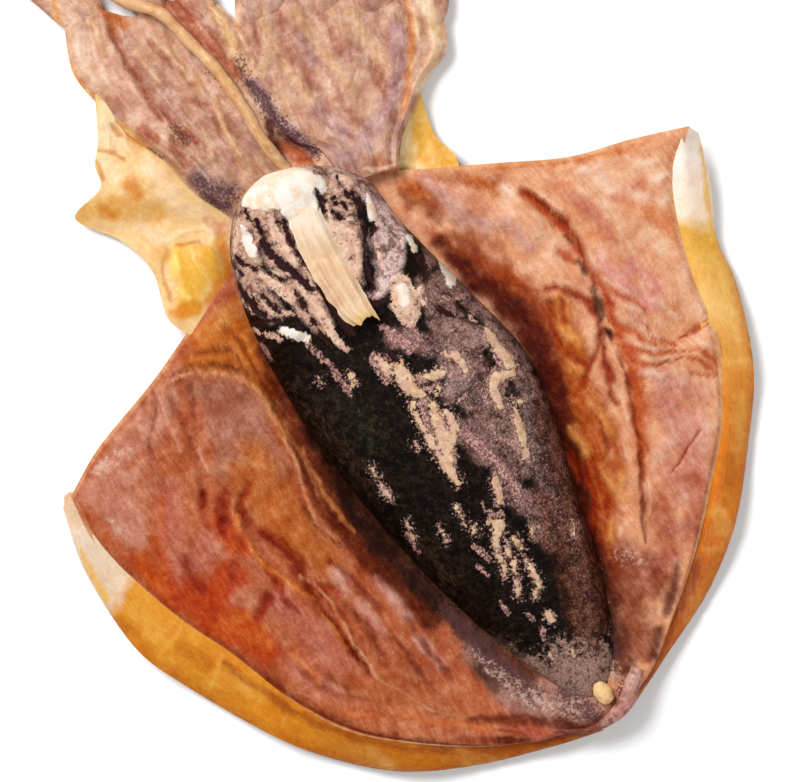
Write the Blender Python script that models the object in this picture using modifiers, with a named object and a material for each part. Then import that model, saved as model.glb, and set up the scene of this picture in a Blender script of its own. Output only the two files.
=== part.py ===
"""Dried cuttlefish, split open along its belly and pressed flat, as one solid.

The inner side faces up. The body axis runs along Y with the head towards +Y and +Z up. The
origin is the centre of the flat patch under the body axis that the animal rests on.
Lengths are in millimetres until they are written into a mesh.
"""

import bmesh
import bpy
import numpy as np

NAME = "dried_cuttlefish"
MM = 0.001

# Mantle: two leathery lobes, one sheet
NECK_EDGE = [(-68, 26), (-58, 31.5), (-42, 37), (-29.5, 42.5), (-16, 48.5), (1, 51),
             (18, 48.5), (28.5, 43.5), (40, 37.5), (52, 31.5), (64, 28), (75.5, 24)]
LEFT_RIM = [(-68, 26), (-69, 16), (-67, 5), (-63, -7), (-58, -18), (-53, -31),
            (-46, -42.5), (-37, -51), (-25, -59.5), (-14, -65)]
RIGHT_RIM = [(75.5, 24), (69, 18), (65, 10), (61.5, -2), (59, -14), (52, -28),
             (42, -39), (31, -50), (15, -63)]
TAIL_EDGE = [(-14, -65), (-6, -67.5), (2, -68), (9, -66.5), (15, -63)]
MANTLE_CELLS = (60, 44)
MANTLE_FACES_KEPT = 0.42
SKIN_BY_BODY = 3.2
SKIN_AT_RIM = 2.2
RIM_ROUNDING = 0.62
REST_HALF_WIDTH = 14.0
REST_HEAD_END = 43.0
REST_TAIL_END = -42.0
LOBE_RISE = 5.4
RIM_DROP = 1.4
CORNER_LIFT_LEFT = 2.5
CORNER_LIFT_RIGHT = 4.0

# Folds of the lobes: a line, its height (positive to its right side) and its half width
RIGHT_CREASE = [(40, 28), (44, 20), (44.5, 12), (42, 3), (40, -7), (35, -22), (29, -34), (23, -46)]
RIGHT_BEND = [(40, -4), (44, -9), (49, -12), (54, -13), (60, -12)]
RIGHT_TROUGH = [(33, 36), (35, 22), (33.5, 8), (30, -6), (25, -19), (19, -32), (13, -44)]
LEFT_CREASE = [(-40, 12), (-42.5, 3), (-41, -8), (-37, -19), (-34, -30), (-29, -42), (-20, -55)]
LEFT_VALLEY = [(-39, 5), (-36.5, -6), (-34, -16), (-32, -26), (-27, -38)]
LEFT_SHOULDER = [(-45, 33), (-34, 31), (-27, 24), (-25, 12), (-27, 0), (-25, -14), (-20, -34)]
LEFT_RIB = [(-62, 22), (-52, 12), (-46, 0), (-48, -14)]
FOLDS = [(RIGHT_CREASE, -1.5, 4.0), (RIGHT_BEND, 0.8, 3.2), (RIGHT_TROUGH, -0.9, 4.0),
         (LEFT_CREASE, 1.2, 3.4), (LEFT_VALLEY, -0.8, 3.0), (LEFT_SHOULDER, -0.9, 3.4),
         (LEFT_RIB, 0.5, 3.6)]

# Fins: thin bands that come out from beneath both rims
LEFT_FIN = [(-71, 25), (-74, 11), (-73.5, -6), (-69, -18), (-61, -33), (-53, -44.5),
            (-42, -55), (-27, -62.8), (-12, -67.5), (-2, -70)]
RIGHT_FIN = [(77, 22), (73.5, 12), (69, 2), (67.5, -8), (61.5, -24), (53, -36),
             (42, -48.5), (30, -57.5), (17, -63.5), (4, -69.5)]
FIN_THICK = 1.2
FIN_EDGE_HEIGHT = 2.2
FIN_WAVE = 0.8
FIN_ROOT = 0.95
FIN_CELLS = (3, 30)

# Mound: the innards along the axis, one line for each edge and one for the crest height
MOUND_TAIL = -64.5
MOUND_HEAD = 60.2
MOUND_LEFT = [(-64.5, 0.8), (-62, -2.6), (-58, -5.5), (-44, -11), (-28, -15.5), (-11, -18.7),
              (6, -20.7), (23, -21), (38, -19.6), (49, -16.5), (55, -12.8), (58.8, -8.4),
              (60.2, -2)]
MOUND_RIGHT = [(-64.5, 0.8), (-62, 4), (-55, 9.3), (-40, 15.2), (-26, 18.2), (-11, 22.6),
               (3, 24.4), (19, 21.3), (37, 17.1), (48, 15.9), (53, 12.9), (57, 7.5), (60.2, -2)]
MOUND_CREST = [(-64.5, 5), (-58, 7.5), (-45, 10), (-28, 13.2), (-8, 15.6), (15, 16.2),
               (38, 15.4), (50, 14.5), (56, 11), (60.2, 5)]
MOUND_FOOT = 1.4
MOUND_FREE_FROM = 50.0
MOUND_BELLY = 0.6
MOUND_CELLS = (26, 26)
SHOULDER_ROUND = 0.86
CREST_ROUND = 0.84

# Knob and its ribbed strap on the head end of the mound
KNOB_PLACE = (-1, 53, 9.8)
KNOB_SIZE = (10.6, 7, 5.6)
STRAP_LEFT = [(-6, 53), (-5.4, 43), (-5.8, 33), (-5, 24)]
STRAP_RIGHT = [(4.6, 53), (4.2, 43), (4, 33), (3.4, 24)]
STRAP_HEIGHT = 1.7
STRAP_RIB = 0.5
STRAP_PIT = (-0.8, 22, 4.2, 2.0)
LUMPS = [((-12.9, 30.5), (3.4, 2.1, 1.5)), ((9.2, 22.5), (2.2, 3.0, 1.5)),
         ((16.5, 33.3), (2.4, 2.8, 1.6)), ((1.6, -62.6), (1.5, 1.5, 1.4))]

# Head: two halves that lie open, in front of the neck
LEFT_HALF_OUTER = [(-18, 110), (-20.5, 106), (-23.5, 98), (-22.5, 90), (-20.5, 82), (-17, 73),
                   (-15.5, 65), (-12, 57), (-10, 48)]
LEFT_HALF_INNER = [(8, 96), (9.6, 91), (11.5, 86), (11, 79), (10, 70), (12, 62), (13, 48)]
LEFT_HALF_TOP = [(-18, 110), (-13, 107), (-7, 101.3), (0, 100.5), (8, 96)]
LEFT_HALF_NECK = [(-10, 48), (1, 46), (13, 48)]
RIGHT_HALF_INNER = [(12, 94), (9.3, 88.5), (7.3, 80), (5, 71), (5.5, 64), (10, 58), (11, 45)]
RIGHT_HALF_OUTER = [(47.5, 72.5), (45.3, 67.5), (42.5, 62.5), (37, 60.3), (31, 56), (25.5, 52),
                    (20.5, 45)]
RIGHT_HALF_TOP = [(12, 94), (23, 87), (35, 79.5), (47.5, 72.5)]
RIGHT_HALF_NECK = [(11, 45), (16, 44), (20.5, 45)]
HALF_CELLS = (12, 15)
LEFT_HALF_HEIGHT = (5.6, 3.6)
RIGHT_HALF_HEIGHT = (6.6, 4.0)
HALF_RIDGE = 0.5
HALF_LIFT = 0.9
THROAT_PIT = (5.6, 61, 4.6, 3.0)

# Arms: a line each, with the width at the root
ARMS = [([(-16, 103), (-20, 114), (-24.5, 124), (-25.5, 133)], 6.0, 1.0),
        ([(-13, 103), (-14.6, 114), (-16.5, 124), (-15, 132.5)], 6.0, 2.5),
        ([(-3, 96), (-3, 108), (-0.5, 120), (4.5, 131)], 8.0, 1.5),
        ([(4.5, 91), (6, 103), (9.5, 116), (15, 126)], 8.0, 0.5),
        ([(15, 84), (18.5, 97), (22.5, 110), (23, 121)], 9.5, 2.5),
        ([(24, 79), (29, 92), (34, 105), (40, 115)], 9.5, 1.0),
        ([(33, 74), (39, 85), (46, 96), (54, 104)], 9.5, 2.0),
        ([(40, 67), (47, 76), (55, 84), (64, 88)], 9.0, 3.0)]
ARM_TIP = 0.26
ARM_FLATTENED = 0.42
ARM_RISE = 0.8
TENTACLE = [(-4.5, 131, 3.4), (-8.5, 123, 3.0), (-9.6, 113, 3.2), (-7.2, 105, 4.4),
            (-2.4, 99, 5.2), (-0.6, 92, 5.0), (1.4, 83, 5.4), (1.9, 74, 5.8), (1.8, 66, 5.0),
            (3, 58, 3.4)]
TENTACLE_RADIUS = 1.25
CLUB_RADIUS = 2.3

# Collar: translucent skin on both sides of the neck
LEFT_COLLAR_OUTER = [(-22, 92), (-26.5, 84), (-29.5, 80), (-31, 75.5), (-38.5, 73), (-33, 64.5),
                     (-30.8, 56), (-33, 46), (-30, 39)]
LEFT_COLLAR_INNER = [(-20, 92), (-17, 82), (-14, 72), (-11, 60), (-9, 50), (-14, 44)]
RIGHT_COLLAR_OUTER = [(34, 58.6), (32.6, 54), (31.8, 49), (33, 43.5), (31, 38)]
RIGHT_COLLAR_INNER = [(29, 58), (22, 53), (17, 48), (16, 42)]
COLLAR_THICK = 1.2
COLLAR_HEIGHT = 2.2
COLLAR_WAVE = 0.9
COLLAR_CELLS = (6, 14)

# Curled lip of skin at the tail
TAIL_LIP = [(-11, -64.3, 5.8), (-4, -68.2, 6.0), (4, -67.4, 6.4), (10, -62.5, 6.2)]
TAIL_LIP_RADIUS = 1.5

SHORTEST_EDGE = 0.00008
FLESH_COLOUR = (0.52, 0.20, 0.10, 1.0)


def ease(low, high, value):
    """A soft step from 0 at low to 1 at high."""
    share = np.clip((value - low) / (high - low), 0.0, 1.0)
    return share * share * (3.0 - 2.0 * share)


def smooth_line(points, steps=10):
    """A smooth line through the points, with the share of its length at each sample."""
    knots = np.array(points, float)
    ends = np.vstack([2 * knots[0] - knots[1], knots, 2 * knots[-1] - knots[-2]])
    t = np.linspace(0, 1, steps, endpoint=False)[:, None]
    runs = []
    for a, b, c, d in zip(ends, ends[1:], ends[2:], ends[3:]):
        runs.append(0.5 * (2 * b + (c - a) * t + (2 * a - 5 * b + 4 * c - d) * t ** 2
                           + (3 * b - a - 3 * c + d) * t ** 3))
    line = np.vstack(runs + [knots[-1:]])
    gone = np.concatenate([[0.0], np.cumsum(np.linalg.norm(np.diff(line, axis=0), axis=1))])
    return gone / gone[-1], line


def along(line, share):
    """The points at the given shares of a smooth line."""
    shares, samples = line
    columns = [np.interp(share, shares, samples[:, k]) for k in range(samples.shape[1])]
    return np.stack(columns, -1)


def level(points, value):
    """The second coordinate of a smooth line at a value of its first one."""
    samples = smooth_line(points)[1]
    return np.interp(value, samples[:, 0], samples[:, 1])


def between(left, right, first, last):
    """Places on a sheet between four edges: u runs from left to right, v from first to last."""
    left, right, first, last = (smooth_line(e) for e in (left, right, first, last))

    def place(u, v):
        rows = (1 - v)[:, None] * along(first, u) + v[:, None] * along(last, u)
        columns = (1 - u)[:, None] * along(left, v) + u[:, None] * along(right, v)
        corners = (((1 - u) * (1 - v))[:, None] * first[1][0] + (u * (1 - v))[:, None] * first[1][-1]
                   + ((1 - u) * v)[:, None] * last[1][0] + (u * v)[:, None] * last[1][-1])
        return rows + columns - corners

    return place


def across(inner, outer):
    """Places on a band between two edges: u runs from inner to outer, v along both."""
    inner, outer = smooth_line(inner), smooth_line(outer)

    def place(u, v):
        return (1 - u)[:, None] * along(inner, v) + u[:, None] * along(outer, v)

    return place


def beside(x, y, points):
    """Distance from a line of points, counted negative on its left, and the share along it."""
    samples = smooth_line(points, 5)[1]
    best = np.full(x.shape, 1e9)
    signed = np.zeros(x.shape)
    share = np.zeros(x.shape)
    runs = len(samples) - 1
    for k, (start, end) in enumerate(zip(samples, samples[1:])):
        step = end - start
        part = np.clip(((x - start[0]) * step[0] + (y - start[1]) * step[1]) / (step @ step), 0, 1)
        off_x = x - start[0] - part * step[0]
        off_y = y - start[1] - part * step[1]
        distance = np.hypot(off_x, off_y)
        nearer = distance < best
        best = np.where(nearer, distance, best)
        side = np.where(step[0] * off_y - step[1] * off_x > 0, -1.0, 1.0)
        signed = np.where(nearer, side * distance, signed)
        share = np.where(nearer, (k + part) / runs, share)
    return signed, share


def pit(x, y, spec):
    """Depth of a round pit given as centre, radius and depth."""
    centre_x, centre_y, radius, depth = spec
    return depth * np.exp(-((x - centre_x) ** 2 + (y - centre_y) ** 2) / radius ** 2)


def spread(x, y):
    """How far a place lies outside the flat patch: 0 on it, about 1 at the rim of a lobe."""
    aside = np.maximum(0, np.abs(x) - REST_HALF_WIDTH) / 44.0
    tailward = np.maximum(0, REST_TAIL_END - y) / 70.0
    headward = np.maximum(0, y - REST_HEAD_END) / 36.0
    return np.sqrt(aside ** 2 + tailward ** 2 + headward ** 2)


def mantle_under(x, y):
    """Height of the back of the mantle."""
    out = spread(x, y)
    height = LOBE_RISE * ease(0, 0.62, out) - RIM_DROP * ease(0.6, 1.1, out)
    right = np.hypot(x - 75, y - 24)
    left = np.hypot(x + 69, y - 25)
    return height + CORNER_LIFT_RIGHT * (1 - ease(0, 26, right)) + CORNER_LIFT_LEFT * (1 - ease(0, 22, left))


def mantle_over(x, y, edge):
    """Height of the inner face of the mantle; edge is 0 at the border and 1 inside."""
    thick = SKIN_BY_BODY + (SKIN_AT_RIM - SKIN_BY_BODY) * ease(0.2, 1.0, spread(x, y))
    fold = np.zeros(x.shape)
    for line, height, half_width in FOLDS:
        signed, share = beside(x, y, line)
        fade = ease(0, 0.15, share) * (1 - ease(0.85, 1, share))
        step = signed / half_width
        fold += height * fade * step * np.exp(0.5 - step ** 2 / 2)
    fold = np.maximum(fold, 0.9 - thick)
    return mantle_under(x, y) + (thick + fold) * (RIM_ROUNDING + (1 - RIM_ROUNDING) * edge)


def mound_foot(x, y):
    """Height of the foot of the mound, inside the skin of the mantle."""
    return MOUND_FOOT + mantle_under(x, np.minimum(y, MOUND_FREE_FROM))


def mound_over(x, y):
    """Height of the top of the mound above a place inside its outline."""
    left, right, crest = (level(e, y) for e in (MOUND_LEFT, MOUND_RIGHT, MOUND_CREST))
    middle, half = (left + right) / 2, np.maximum((right - left) / 2, 0.1)
    cosine = np.clip(np.abs((x - middle) / half), 0, 1) ** (1 / SHOULDER_ROUND)
    sine = np.sqrt(1 - cosine ** 2)
    foot = mound_foot(x, y)
    return foot + (crest - foot) * sine ** CREST_ROUND


def write_places(piece, places):
    """Puts the vertices of a piece at places given in millimetres."""
    piece.data.vertices.foreach_set("co", (np.asarray(places) * MM).ravel())
    mesh = bmesh.new()
    mesh.from_mesh(piece.data)
    bmesh.ops.recalc_face_normals(mesh, faces=mesh.faces)
    mesh.to_mesh(piece.data)
    mesh.free()


def sheet(name, place, under, over, cells):
    """A slab on a grid: under and over give the heights of its two faces."""
    bpy.ops.mesh.primitive_grid_add(x_subdivisions=cells[0], y_subdivisions=cells[1], size=1)
    piece = bpy.context.object
    piece.name = name
    grid = np.array([vertex.co[:2] for vertex in piece.data.vertices])
    u, v = grid[:, 0] + 0.5, 0.5 - grid[:, 1]
    flat = place(u, v)
    thickness = piece.modifiers.new("thickness", "SOLIDIFY")
    thickness.thickness = MM
    bpy.ops.object.modifier_apply(modifier=thickness.name)
    x, y = flat[:, 0], flat[:, 1]
    low = np.column_stack([x, y, under(x, y, u, v)])
    high = np.column_stack([x, y, over(x, y, u, v)])
    write_places(piece, np.vstack([low, high]))
    return piece


def ball(name, place, size, segments=12, rings=8):
    """An ellipsoid at a place, with its three radii."""
    bpy.ops.mesh.primitive_uv_sphere_add(segments=segments, ring_count=rings, radius=1)
    piece = bpy.context.object
    piece.name = name
    unit = np.array([vertex.co[:] for vertex in piece.data.vertices])
    write_places(piece, unit * size + np.array(place))
    return piece


def strand(name, points, radii, samples, flattened=1.0, sides=2):
    """A tapered round strand along a smooth line, pressed down by the share flattened."""
    line = smooth_line(points)
    shares = np.linspace(0, 1, samples)
    places = along(line, shares)
    if places.shape[1] == 2:
        places = np.column_stack([places, np.zeros(samples)])
    curve = bpy.data.curves.new(name, "CURVE")
    curve.dimensions = "3D"
    curve.bevel_depth = MM
    curve.bevel_resolution = sides
    curve.use_fill_caps = True
    spline = curve.splines.new("POLY")
    spline.points.add(samples - 1)
    for knot, place, share in zip(spline.points, places, shares):
        radius = float(radii(share))
        height = place[2] / flattened + (radius if flattened < 1 else 0)
        knot.co = (place[0] * MM, place[1] * MM, height * MM, 1)
        knot.radius = radius
    path = bpy.data.objects.new(name + "_path", curve)
    bpy.context.collection.objects.link(path)
    bpy.context.view_layer.update()
    shaped = path.evaluated_get(bpy.context.evaluated_depsgraph_get())
    mesh = bpy.data.meshes.new_from_object(shaped)
    piece = bpy.data.objects.new(name, mesh)
    bpy.context.collection.objects.link(piece)
    bpy.data.objects.remove(path)
    work = bmesh.new()
    work.from_mesh(mesh)
    bmesh.ops.remove_doubles(work, verts=work.verts, dist=0.00002)
    for vertex in work.verts:
        vertex.co.z *= flattened
    bmesh.ops.recalc_face_normals(work, faces=work.faces)
    work.to_mesh(mesh)
    work.free()
    return piece


def mantle():
    """The two lobes as one leathery sheet with folds."""
    def edge(u, v):
        return ease(0, 0.035, np.minimum(np.minimum(u, 1 - u), np.minimum(v, 1 - v)))

    piece = sheet(NAME, between(LEFT_RIM, RIGHT_RIM, NECK_EDGE, TAIL_EDGE),
                  lambda x, y, u, v: mantle_under(x, y),
                  lambda x, y, u, v: mantle_over(x, y, edge(u, v)), MANTLE_CELLS)
    fewer = piece.modifiers.new("fewer_faces", "DECIMATE")
    fewer.ratio = MANTLE_FACES_KEPT
    bpy.ops.object.modifier_apply(modifier=fewer.name)
    return piece


def fin(name, rim, outer, waves):
    """A thin wavy band whose root lies inside the rim of the mantle."""
    root = [(x * FIN_ROOT, y * FIN_ROOT) for x, y in rim]

    def middle(x, y, u, v):
        root_height = mantle_under(x, y) + 0.42 * SKIN_AT_RIM
        wave = FIN_WAVE * np.sin(waves * np.pi * v)
        return root_height + (FIN_EDGE_HEIGHT + wave - root_height) * ease(0.32, 1.15, u)

    return sheet(name, across(root, outer),
                 lambda x, y, u, v: middle(x, y, u, v) - FIN_THICK / 2,
                 lambda x, y, u, v: middle(x, y, u, v) + FIN_THICK / 2, FIN_CELLS)


def mound():
    """The innards: a long dome whose foot lies inside the mantle."""
    bpy.ops.mesh.primitive_uv_sphere_add(segments=MOUND_CELLS[0], ring_count=MOUND_CELLS[1], radius=1)
    piece = bpy.context.object
    piece.name = "mound"
    unit = np.array([vertex.co[:] for vertex in piece.data.vertices])
    y = MOUND_TAIL + (MOUND_HEAD - MOUND_TAIL) * (1 + unit[:, 2]) / 2
    ring = np.maximum(np.hypot(unit[:, 0], unit[:, 1]), 1e-6)
    cosine, sine = unit[:, 0] / ring, unit[:, 1] / ring
    pole = np.hypot(unit[:, 0], unit[:, 1]) < 1e-5
    left, right, crest = (level(e, y) for e in (MOUND_LEFT, MOUND_RIGHT, MOUND_CREST))
    x = (left + right) / 2 + (right - left) / 2 * np.sign(cosine) * np.abs(cosine) ** SHOULDER_ROUND
    x = np.where(pole, (left + right) / 2, x)
    foot = mound_foot(x, y)
    rise = np.where(sine > 0, (crest - foot) * np.abs(sine) ** CREST_ROUND, 0.0)
    sink = np.where(sine < 0, MOUND_BELLY * np.abs(sine) ** 0.5, 0.0)
    rise -= pit(x, y, STRAP_PIT) * (sine > 0)
    write_places(piece, np.column_stack([x, y, foot + np.where(pole, 1.5, rise - sink)]))
    return piece


def strap():
    """The ribbed strap that runs from the knob towards the tail and ends free over a pit."""
    def over(x, y, u, v):
        ribs = STRAP_RIB * np.cos(6 * np.pi * (u - 0.5)) * ease(0, 0.2, v)
        edge = ease(0, 0.2, np.minimum(u, 1 - u))
        return mound_over(x, y) + STRAP_HEIGHT * (0.35 + 0.65 * edge) + ribs * edge

    def under(x, y, u, v):
        return mound_over(x, y) - 1.2 + 1.6 * ease(0.8, 0.95, v)

    return sheet("strap", across(STRAP_LEFT, STRAP_RIGHT), under, over, (8, 12))


def head_half(name, edges, heights, arms):
    """One half of the head: a thick flap with a ridge for each arm."""
    def under(x, y, u, v):
        return HALF_LIFT + HALF_LIFT / 3 * np.sin(0.19 * x + 0.13 * y + 2 * heights[0])

    def over(x, y, u, v):
        border = ease(0, 0.08, np.minimum(u, 1 - u))
        ridges = HALF_RIDGE * np.cos(2 * np.pi * arms * (u - 0.5))
        height = heights[1] + (heights[0] - heights[1]) * ease(0, 0.8, v)
        return 1.4 + (height - 1.4 + ridges - pit(x, y, THROAT_PIT)) * (0.45 + 0.55 * border)

    return sheet(name, between(*edges), under, over, HALF_CELLS)


def collar(name, inner, outer, waves):
    """Thin wavy skin from the side of the head to the neck edge of the mantle."""
    def middle(x, y, u, v):
        wave = COLLAR_WAVE * np.sin(waves * np.pi * v + 2.5 * u)
        height = COLLAR_HEIGHT + wave * ease(0, 0.5, u)
        joined = mantle_under(x, y) + 0.5 * SKIN_BY_BODY
        return height + (joined - height) * ease(0.72, 0.92, v)

    return sheet(name, across(inner, outer),
                 lambda x, y, u, v: middle(x, y, u, v) - COLLAR_THICK / 2,
                 lambda x, y, u, v: middle(x, y, u, v) + COLLAR_THICK / 2, COLLAR_CELLS)


def arm(number, line, width, curl):
    """An arm that leaves its half of the head, tapers and turns up at its tip."""
    points = [(x, y, ARM_RISE + curl * (k / 3) ** 3) for k, (x, y) in enumerate(line)]

    def radius(share):
        return width / 2 * (1 + (ARM_TIP - 1) * ease(0.1, 1.05, share))

    return strand("arm_%d" % number, points, radius, 10, ARM_FLATTENED, sides=1)


def tentacle():
    """The long thin strand that lies on the left half and ends in a small club."""
    def radius(share):
        return TENTACLE_RADIUS + (CLUB_RADIUS - TENTACLE_RADIUS) * (1 - ease(0.12, 0.22, share)) \
            * (0.4 + 0.6 * ease(0, 0.06, share))

    return strand("tentacle", TENTACLE, radius, 26, sides=1)


def tail_lip():
    """The roll of skin around the tail end."""
    return strand("tail_lip", TAIL_LIP, lambda share: TAIL_LIP_RADIUS * (1.0 - 0.4 * abs(2 * share - 1)),
                  10, sides=1)


def lumps():
    """Small lumps that stick out of the mound."""
    pieces = []
    for number, ((x, y), size) in enumerate(LUMPS):
        height = float(mound_over(np.array([x]), np.array([y]))[0])
        pieces.append(ball("lump_%d" % number, (x, y, height), size, 8, 6))
    return pieces


def join(body, pieces):
    """One union of the body with all other pieces."""
    group = bpy.data.collections.new("joined_pieces")
    bpy.context.scene.collection.children.link(group)
    for piece in pieces:
        for holder in list(piece.users_collection):
            holder.objects.unlink(piece)
        group.objects.link(piece)
    union = body.modifiers.new("union", "BOOLEAN")
    union.operation = "UNION"
    union.operand_type = "COLLECTION"
    union.collection = group
    union.solver = "MANIFOLD"
    bpy.context.view_layer.objects.active = body
    bpy.ops.object.modifier_apply(modifier=union.name)
    for piece in list(group.objects):
        bpy.data.objects.remove(piece)
    bpy.data.collections.remove(group)


def merge_short_edges(work):
    """Takes out very short edges wherever the surface stays closed without them."""
    for edge in [e for e in work.edges if e.calc_length() < SHORTEST_EDGE]:
        if not edge.is_valid or edge.calc_length() >= SHORTEST_EDGE:
            continue
        first, second = edge.verts
        around = [{e.other_vert(v) for e in v.link_edges} for v in (first, second)]
        opposite = {v for f in edge.link_faces for v in f.verts} - {first, second}
        closed = first.is_manifold and second.is_manifold
        if closed and len(opposite) == 2 and around[0] & around[1] == opposite:
            middle = (first.co + second.co) / 2
            bmesh.ops.pointmerge(work, verts=[first, second], merge_co=middle)


def keep_outer_shell(body):
    """Leaves only the shell with the most faces, so no hollow and no scrap remains."""
    work = bmesh.new()
    work.from_mesh(body.data)
    left = set(work.verts)
    shells = []
    while left:
        todo = [left.pop()]
        shell = set(todo)
        while todo:
            for edge in todo.pop().link_edges:
                for other in edge.verts:
                    if other in left:
                        left.discard(other)
                        shell.add(other)
                        todo.append(other)
        shells.append(shell)
    shells.sort(key=len)
    loose = [vertex for shell in shells[:-1] for vertex in shell]
    bmesh.ops.delete(work, geom=loose, context="VERTS")
    bmesh.ops.triangulate(work, faces=work.faces)
    merge_short_edges(work)
    bmesh.ops.recalc_face_normals(work, faces=work.faces)
    work.to_mesh(body.data)
    work.free()


def flesh_material():
    """Plain material of the cured flesh."""
    material = bpy.data.materials.new("cured_flesh")
    material.use_nodes = True
    shader = material.node_tree.nodes["Principled BSDF"]
    shader.inputs["Base Color"].default_value = FLESH_COLOUR
    shader.inputs["Roughness"].default_value = 0.6
    return material


def main():
    for thing in list(bpy.data.objects):
        bpy.data.objects.remove(thing)
    body = mantle()
    left_half = (LEFT_HALF_OUTER, LEFT_HALF_INNER, LEFT_HALF_TOP, LEFT_HALF_NECK)
    right_half = (RIGHT_HALF_INNER, RIGHT_HALF_OUTER, RIGHT_HALF_TOP, RIGHT_HALF_NECK)
    pieces = [
        mound(),
        ball("knob", KNOB_PLACE, KNOB_SIZE, 16, 10),
        strap(),
        fin("left_fin", LEFT_RIM, LEFT_FIN, 9),
        fin("right_fin", RIGHT_RIM, RIGHT_FIN, 7),
        head_half("left_half", left_half, LEFT_HALF_HEIGHT, 4),
        head_half("right_half", right_half, RIGHT_HALF_HEIGHT, 4),
        collar("left_collar", LEFT_COLLAR_INNER, LEFT_COLLAR_OUTER, 5),
        collar("right_collar", RIGHT_COLLAR_INNER, RIGHT_COLLAR_OUTER, 2),
        tentacle(),
        tail_lip(),
    ]
    pieces += [arm(number, *spec) for number, spec in enumerate(ARMS)]
    pieces += lumps()
    join(body, pieces)
    keep_outer_shell(body)
    body.data.materials.clear()
    body.data.materials.append(flesh_material())
    holder = bpy.data.collections.new(NAME)
    bpy.context.scene.collection.children.link(holder)
    for old in list(body.users_collection):
        old.objects.unlink(body)
    holder.objects.link(body)


main()
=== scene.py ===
import math

import bmesh
import bpy
import numpy as np
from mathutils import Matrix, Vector


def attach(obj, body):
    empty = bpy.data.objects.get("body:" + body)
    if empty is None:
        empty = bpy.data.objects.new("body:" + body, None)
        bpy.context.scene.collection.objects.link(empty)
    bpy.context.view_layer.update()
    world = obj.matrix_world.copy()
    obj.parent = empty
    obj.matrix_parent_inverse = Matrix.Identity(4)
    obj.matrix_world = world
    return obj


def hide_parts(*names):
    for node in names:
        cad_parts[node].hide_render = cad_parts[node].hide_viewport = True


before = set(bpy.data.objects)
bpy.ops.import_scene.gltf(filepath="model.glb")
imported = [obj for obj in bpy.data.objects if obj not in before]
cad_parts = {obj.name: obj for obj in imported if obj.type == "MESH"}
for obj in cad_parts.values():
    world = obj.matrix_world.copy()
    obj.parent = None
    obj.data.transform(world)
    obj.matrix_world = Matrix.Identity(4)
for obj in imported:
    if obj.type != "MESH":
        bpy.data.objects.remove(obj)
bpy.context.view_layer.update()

MM = 0.001
NODE = "dried_cuttlefish"

# Places and sizes are in millimetres, on the frame's own axes

# Mantle: two leathery lobes, one sheet
NECK_EDGE = [(-68, 26), (-58, 31.5), (-42, 37), (-29.5, 42.5), (-16, 48.5), (1, 51),
             (18, 48.5), (28.5, 43.5), (40, 37.5), (52, 31.5), (64, 28), (75.5, 24)]
LEFT_RIM = [(-68, 26), (-69, 16), (-67, 5), (-63, -7), (-58, -18), (-53, -31),
            (-46, -42.5), (-37, -51), (-25, -59.5), (-14, -65)]
RIGHT_RIM = [(75.5, 24), (69, 18), (65, 10), (61.5, -2), (59, -14), (52, -28),
             (42, -39), (31, -50), (15, -63)]
TAIL_EDGE = [(-14, -65), (-6, -67.5), (2, -68), (9, -66.5), (15, -63)]
MANTLE_SPAN = 130
MANTLE_LENGTH = 105
SKIN_BY_BODY = 3.2
SKIN_AT_RIM = 2.2
THINNEST_FOLD = 0.9
THINNEST_SKIN = 0.6
RIM_ROUNDING = 0.62

# The flat patch that it rests on, how far the lobes reach past it, and how they rise
REST_HALF_WIDTH = 14.0
REST_HEAD_END = 43.0
REST_TAIL_END = -42.0
REACH_ASIDE = 44.0
REACH_TAILWARD = 70.0
REACH_HEADWARD = 36.0
LOBE_RISE = 5.4
RIM_DROP = 1.4

# Lifted corners of the lobes: place, reach and lift
CORNERS = [(75, 24, 26, 4.0), (-69, 25, 22, 2.5)]

# Lighter oval over the bone, on the back: centre along the length, half width and half length
BONE_CENTRE = -6
BONE_SIZE = (27, 56)

# Folds of the lobes: a line, its height (positive to its right side) and its half width
RIGHT_CREASE = [(40, 28), (44, 20), (44.5, 12), (42, 3), (40, -7), (35, -22), (29, -34), (23, -46)]
RIGHT_BEND = [(40, -4), (44, -9), (49, -12), (54, -13), (60, -12)]
RIGHT_TROUGH = [(33, 36), (35, 22), (33.5, 8), (30, -6), (25, -19), (19, -32), (13, -44)]
LEFT_CREASE = [(-40, 12), (-42.5, 3), (-41, -8), (-37, -19), (-34, -30), (-29, -42), (-20, -55)]
LEFT_VALLEY = [(-39, 5), (-36.5, -6), (-34, -16), (-32, -26), (-27, -38)]
LEFT_SHOULDER = [(-45, 33), (-34, 31), (-27, 24), (-25, 12), (-27, 0), (-25, -14), (-20, -34)]
LEFT_RIB = [(-62, 22), (-52, 12), (-46, 0), (-48, -14)]
FOLDS = [(RIGHT_CREASE, -1.5, 4.0), (RIGHT_BEND, 0.8, 3.2), (RIGHT_TROUGH, -0.9, 4.0),
         (LEFT_CREASE, 1.2, 3.4), (LEFT_VALLEY, -0.8, 3.0), (LEFT_SHOULDER, -0.9, 3.4),
         (LEFT_RIB, 0.5, 3.6)]

# Fins: thin bands that come out from beneath both rims
LEFT_FIN = [(-71, 25), (-74, 11), (-73.5, -6), (-69, -18), (-61, -33), (-53, -44.5),
            (-42, -55), (-27, -62.8), (-12, -67.5), (-2, -70)]
RIGHT_FIN = [(77, 22), (73.5, 12), (69, 2), (67.5, -8), (61.5, -24), (53, -36),
             (42, -48.5), (30, -57.5), (17, -63.5), (4, -69.5)]
FIN_THICK = 1.2
FIN_EDGE_HEIGHT = 2.2
FIN_WAVE = 0.8
FIN_ROOT = 0.95
FIN_CORNER = 2.0

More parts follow.
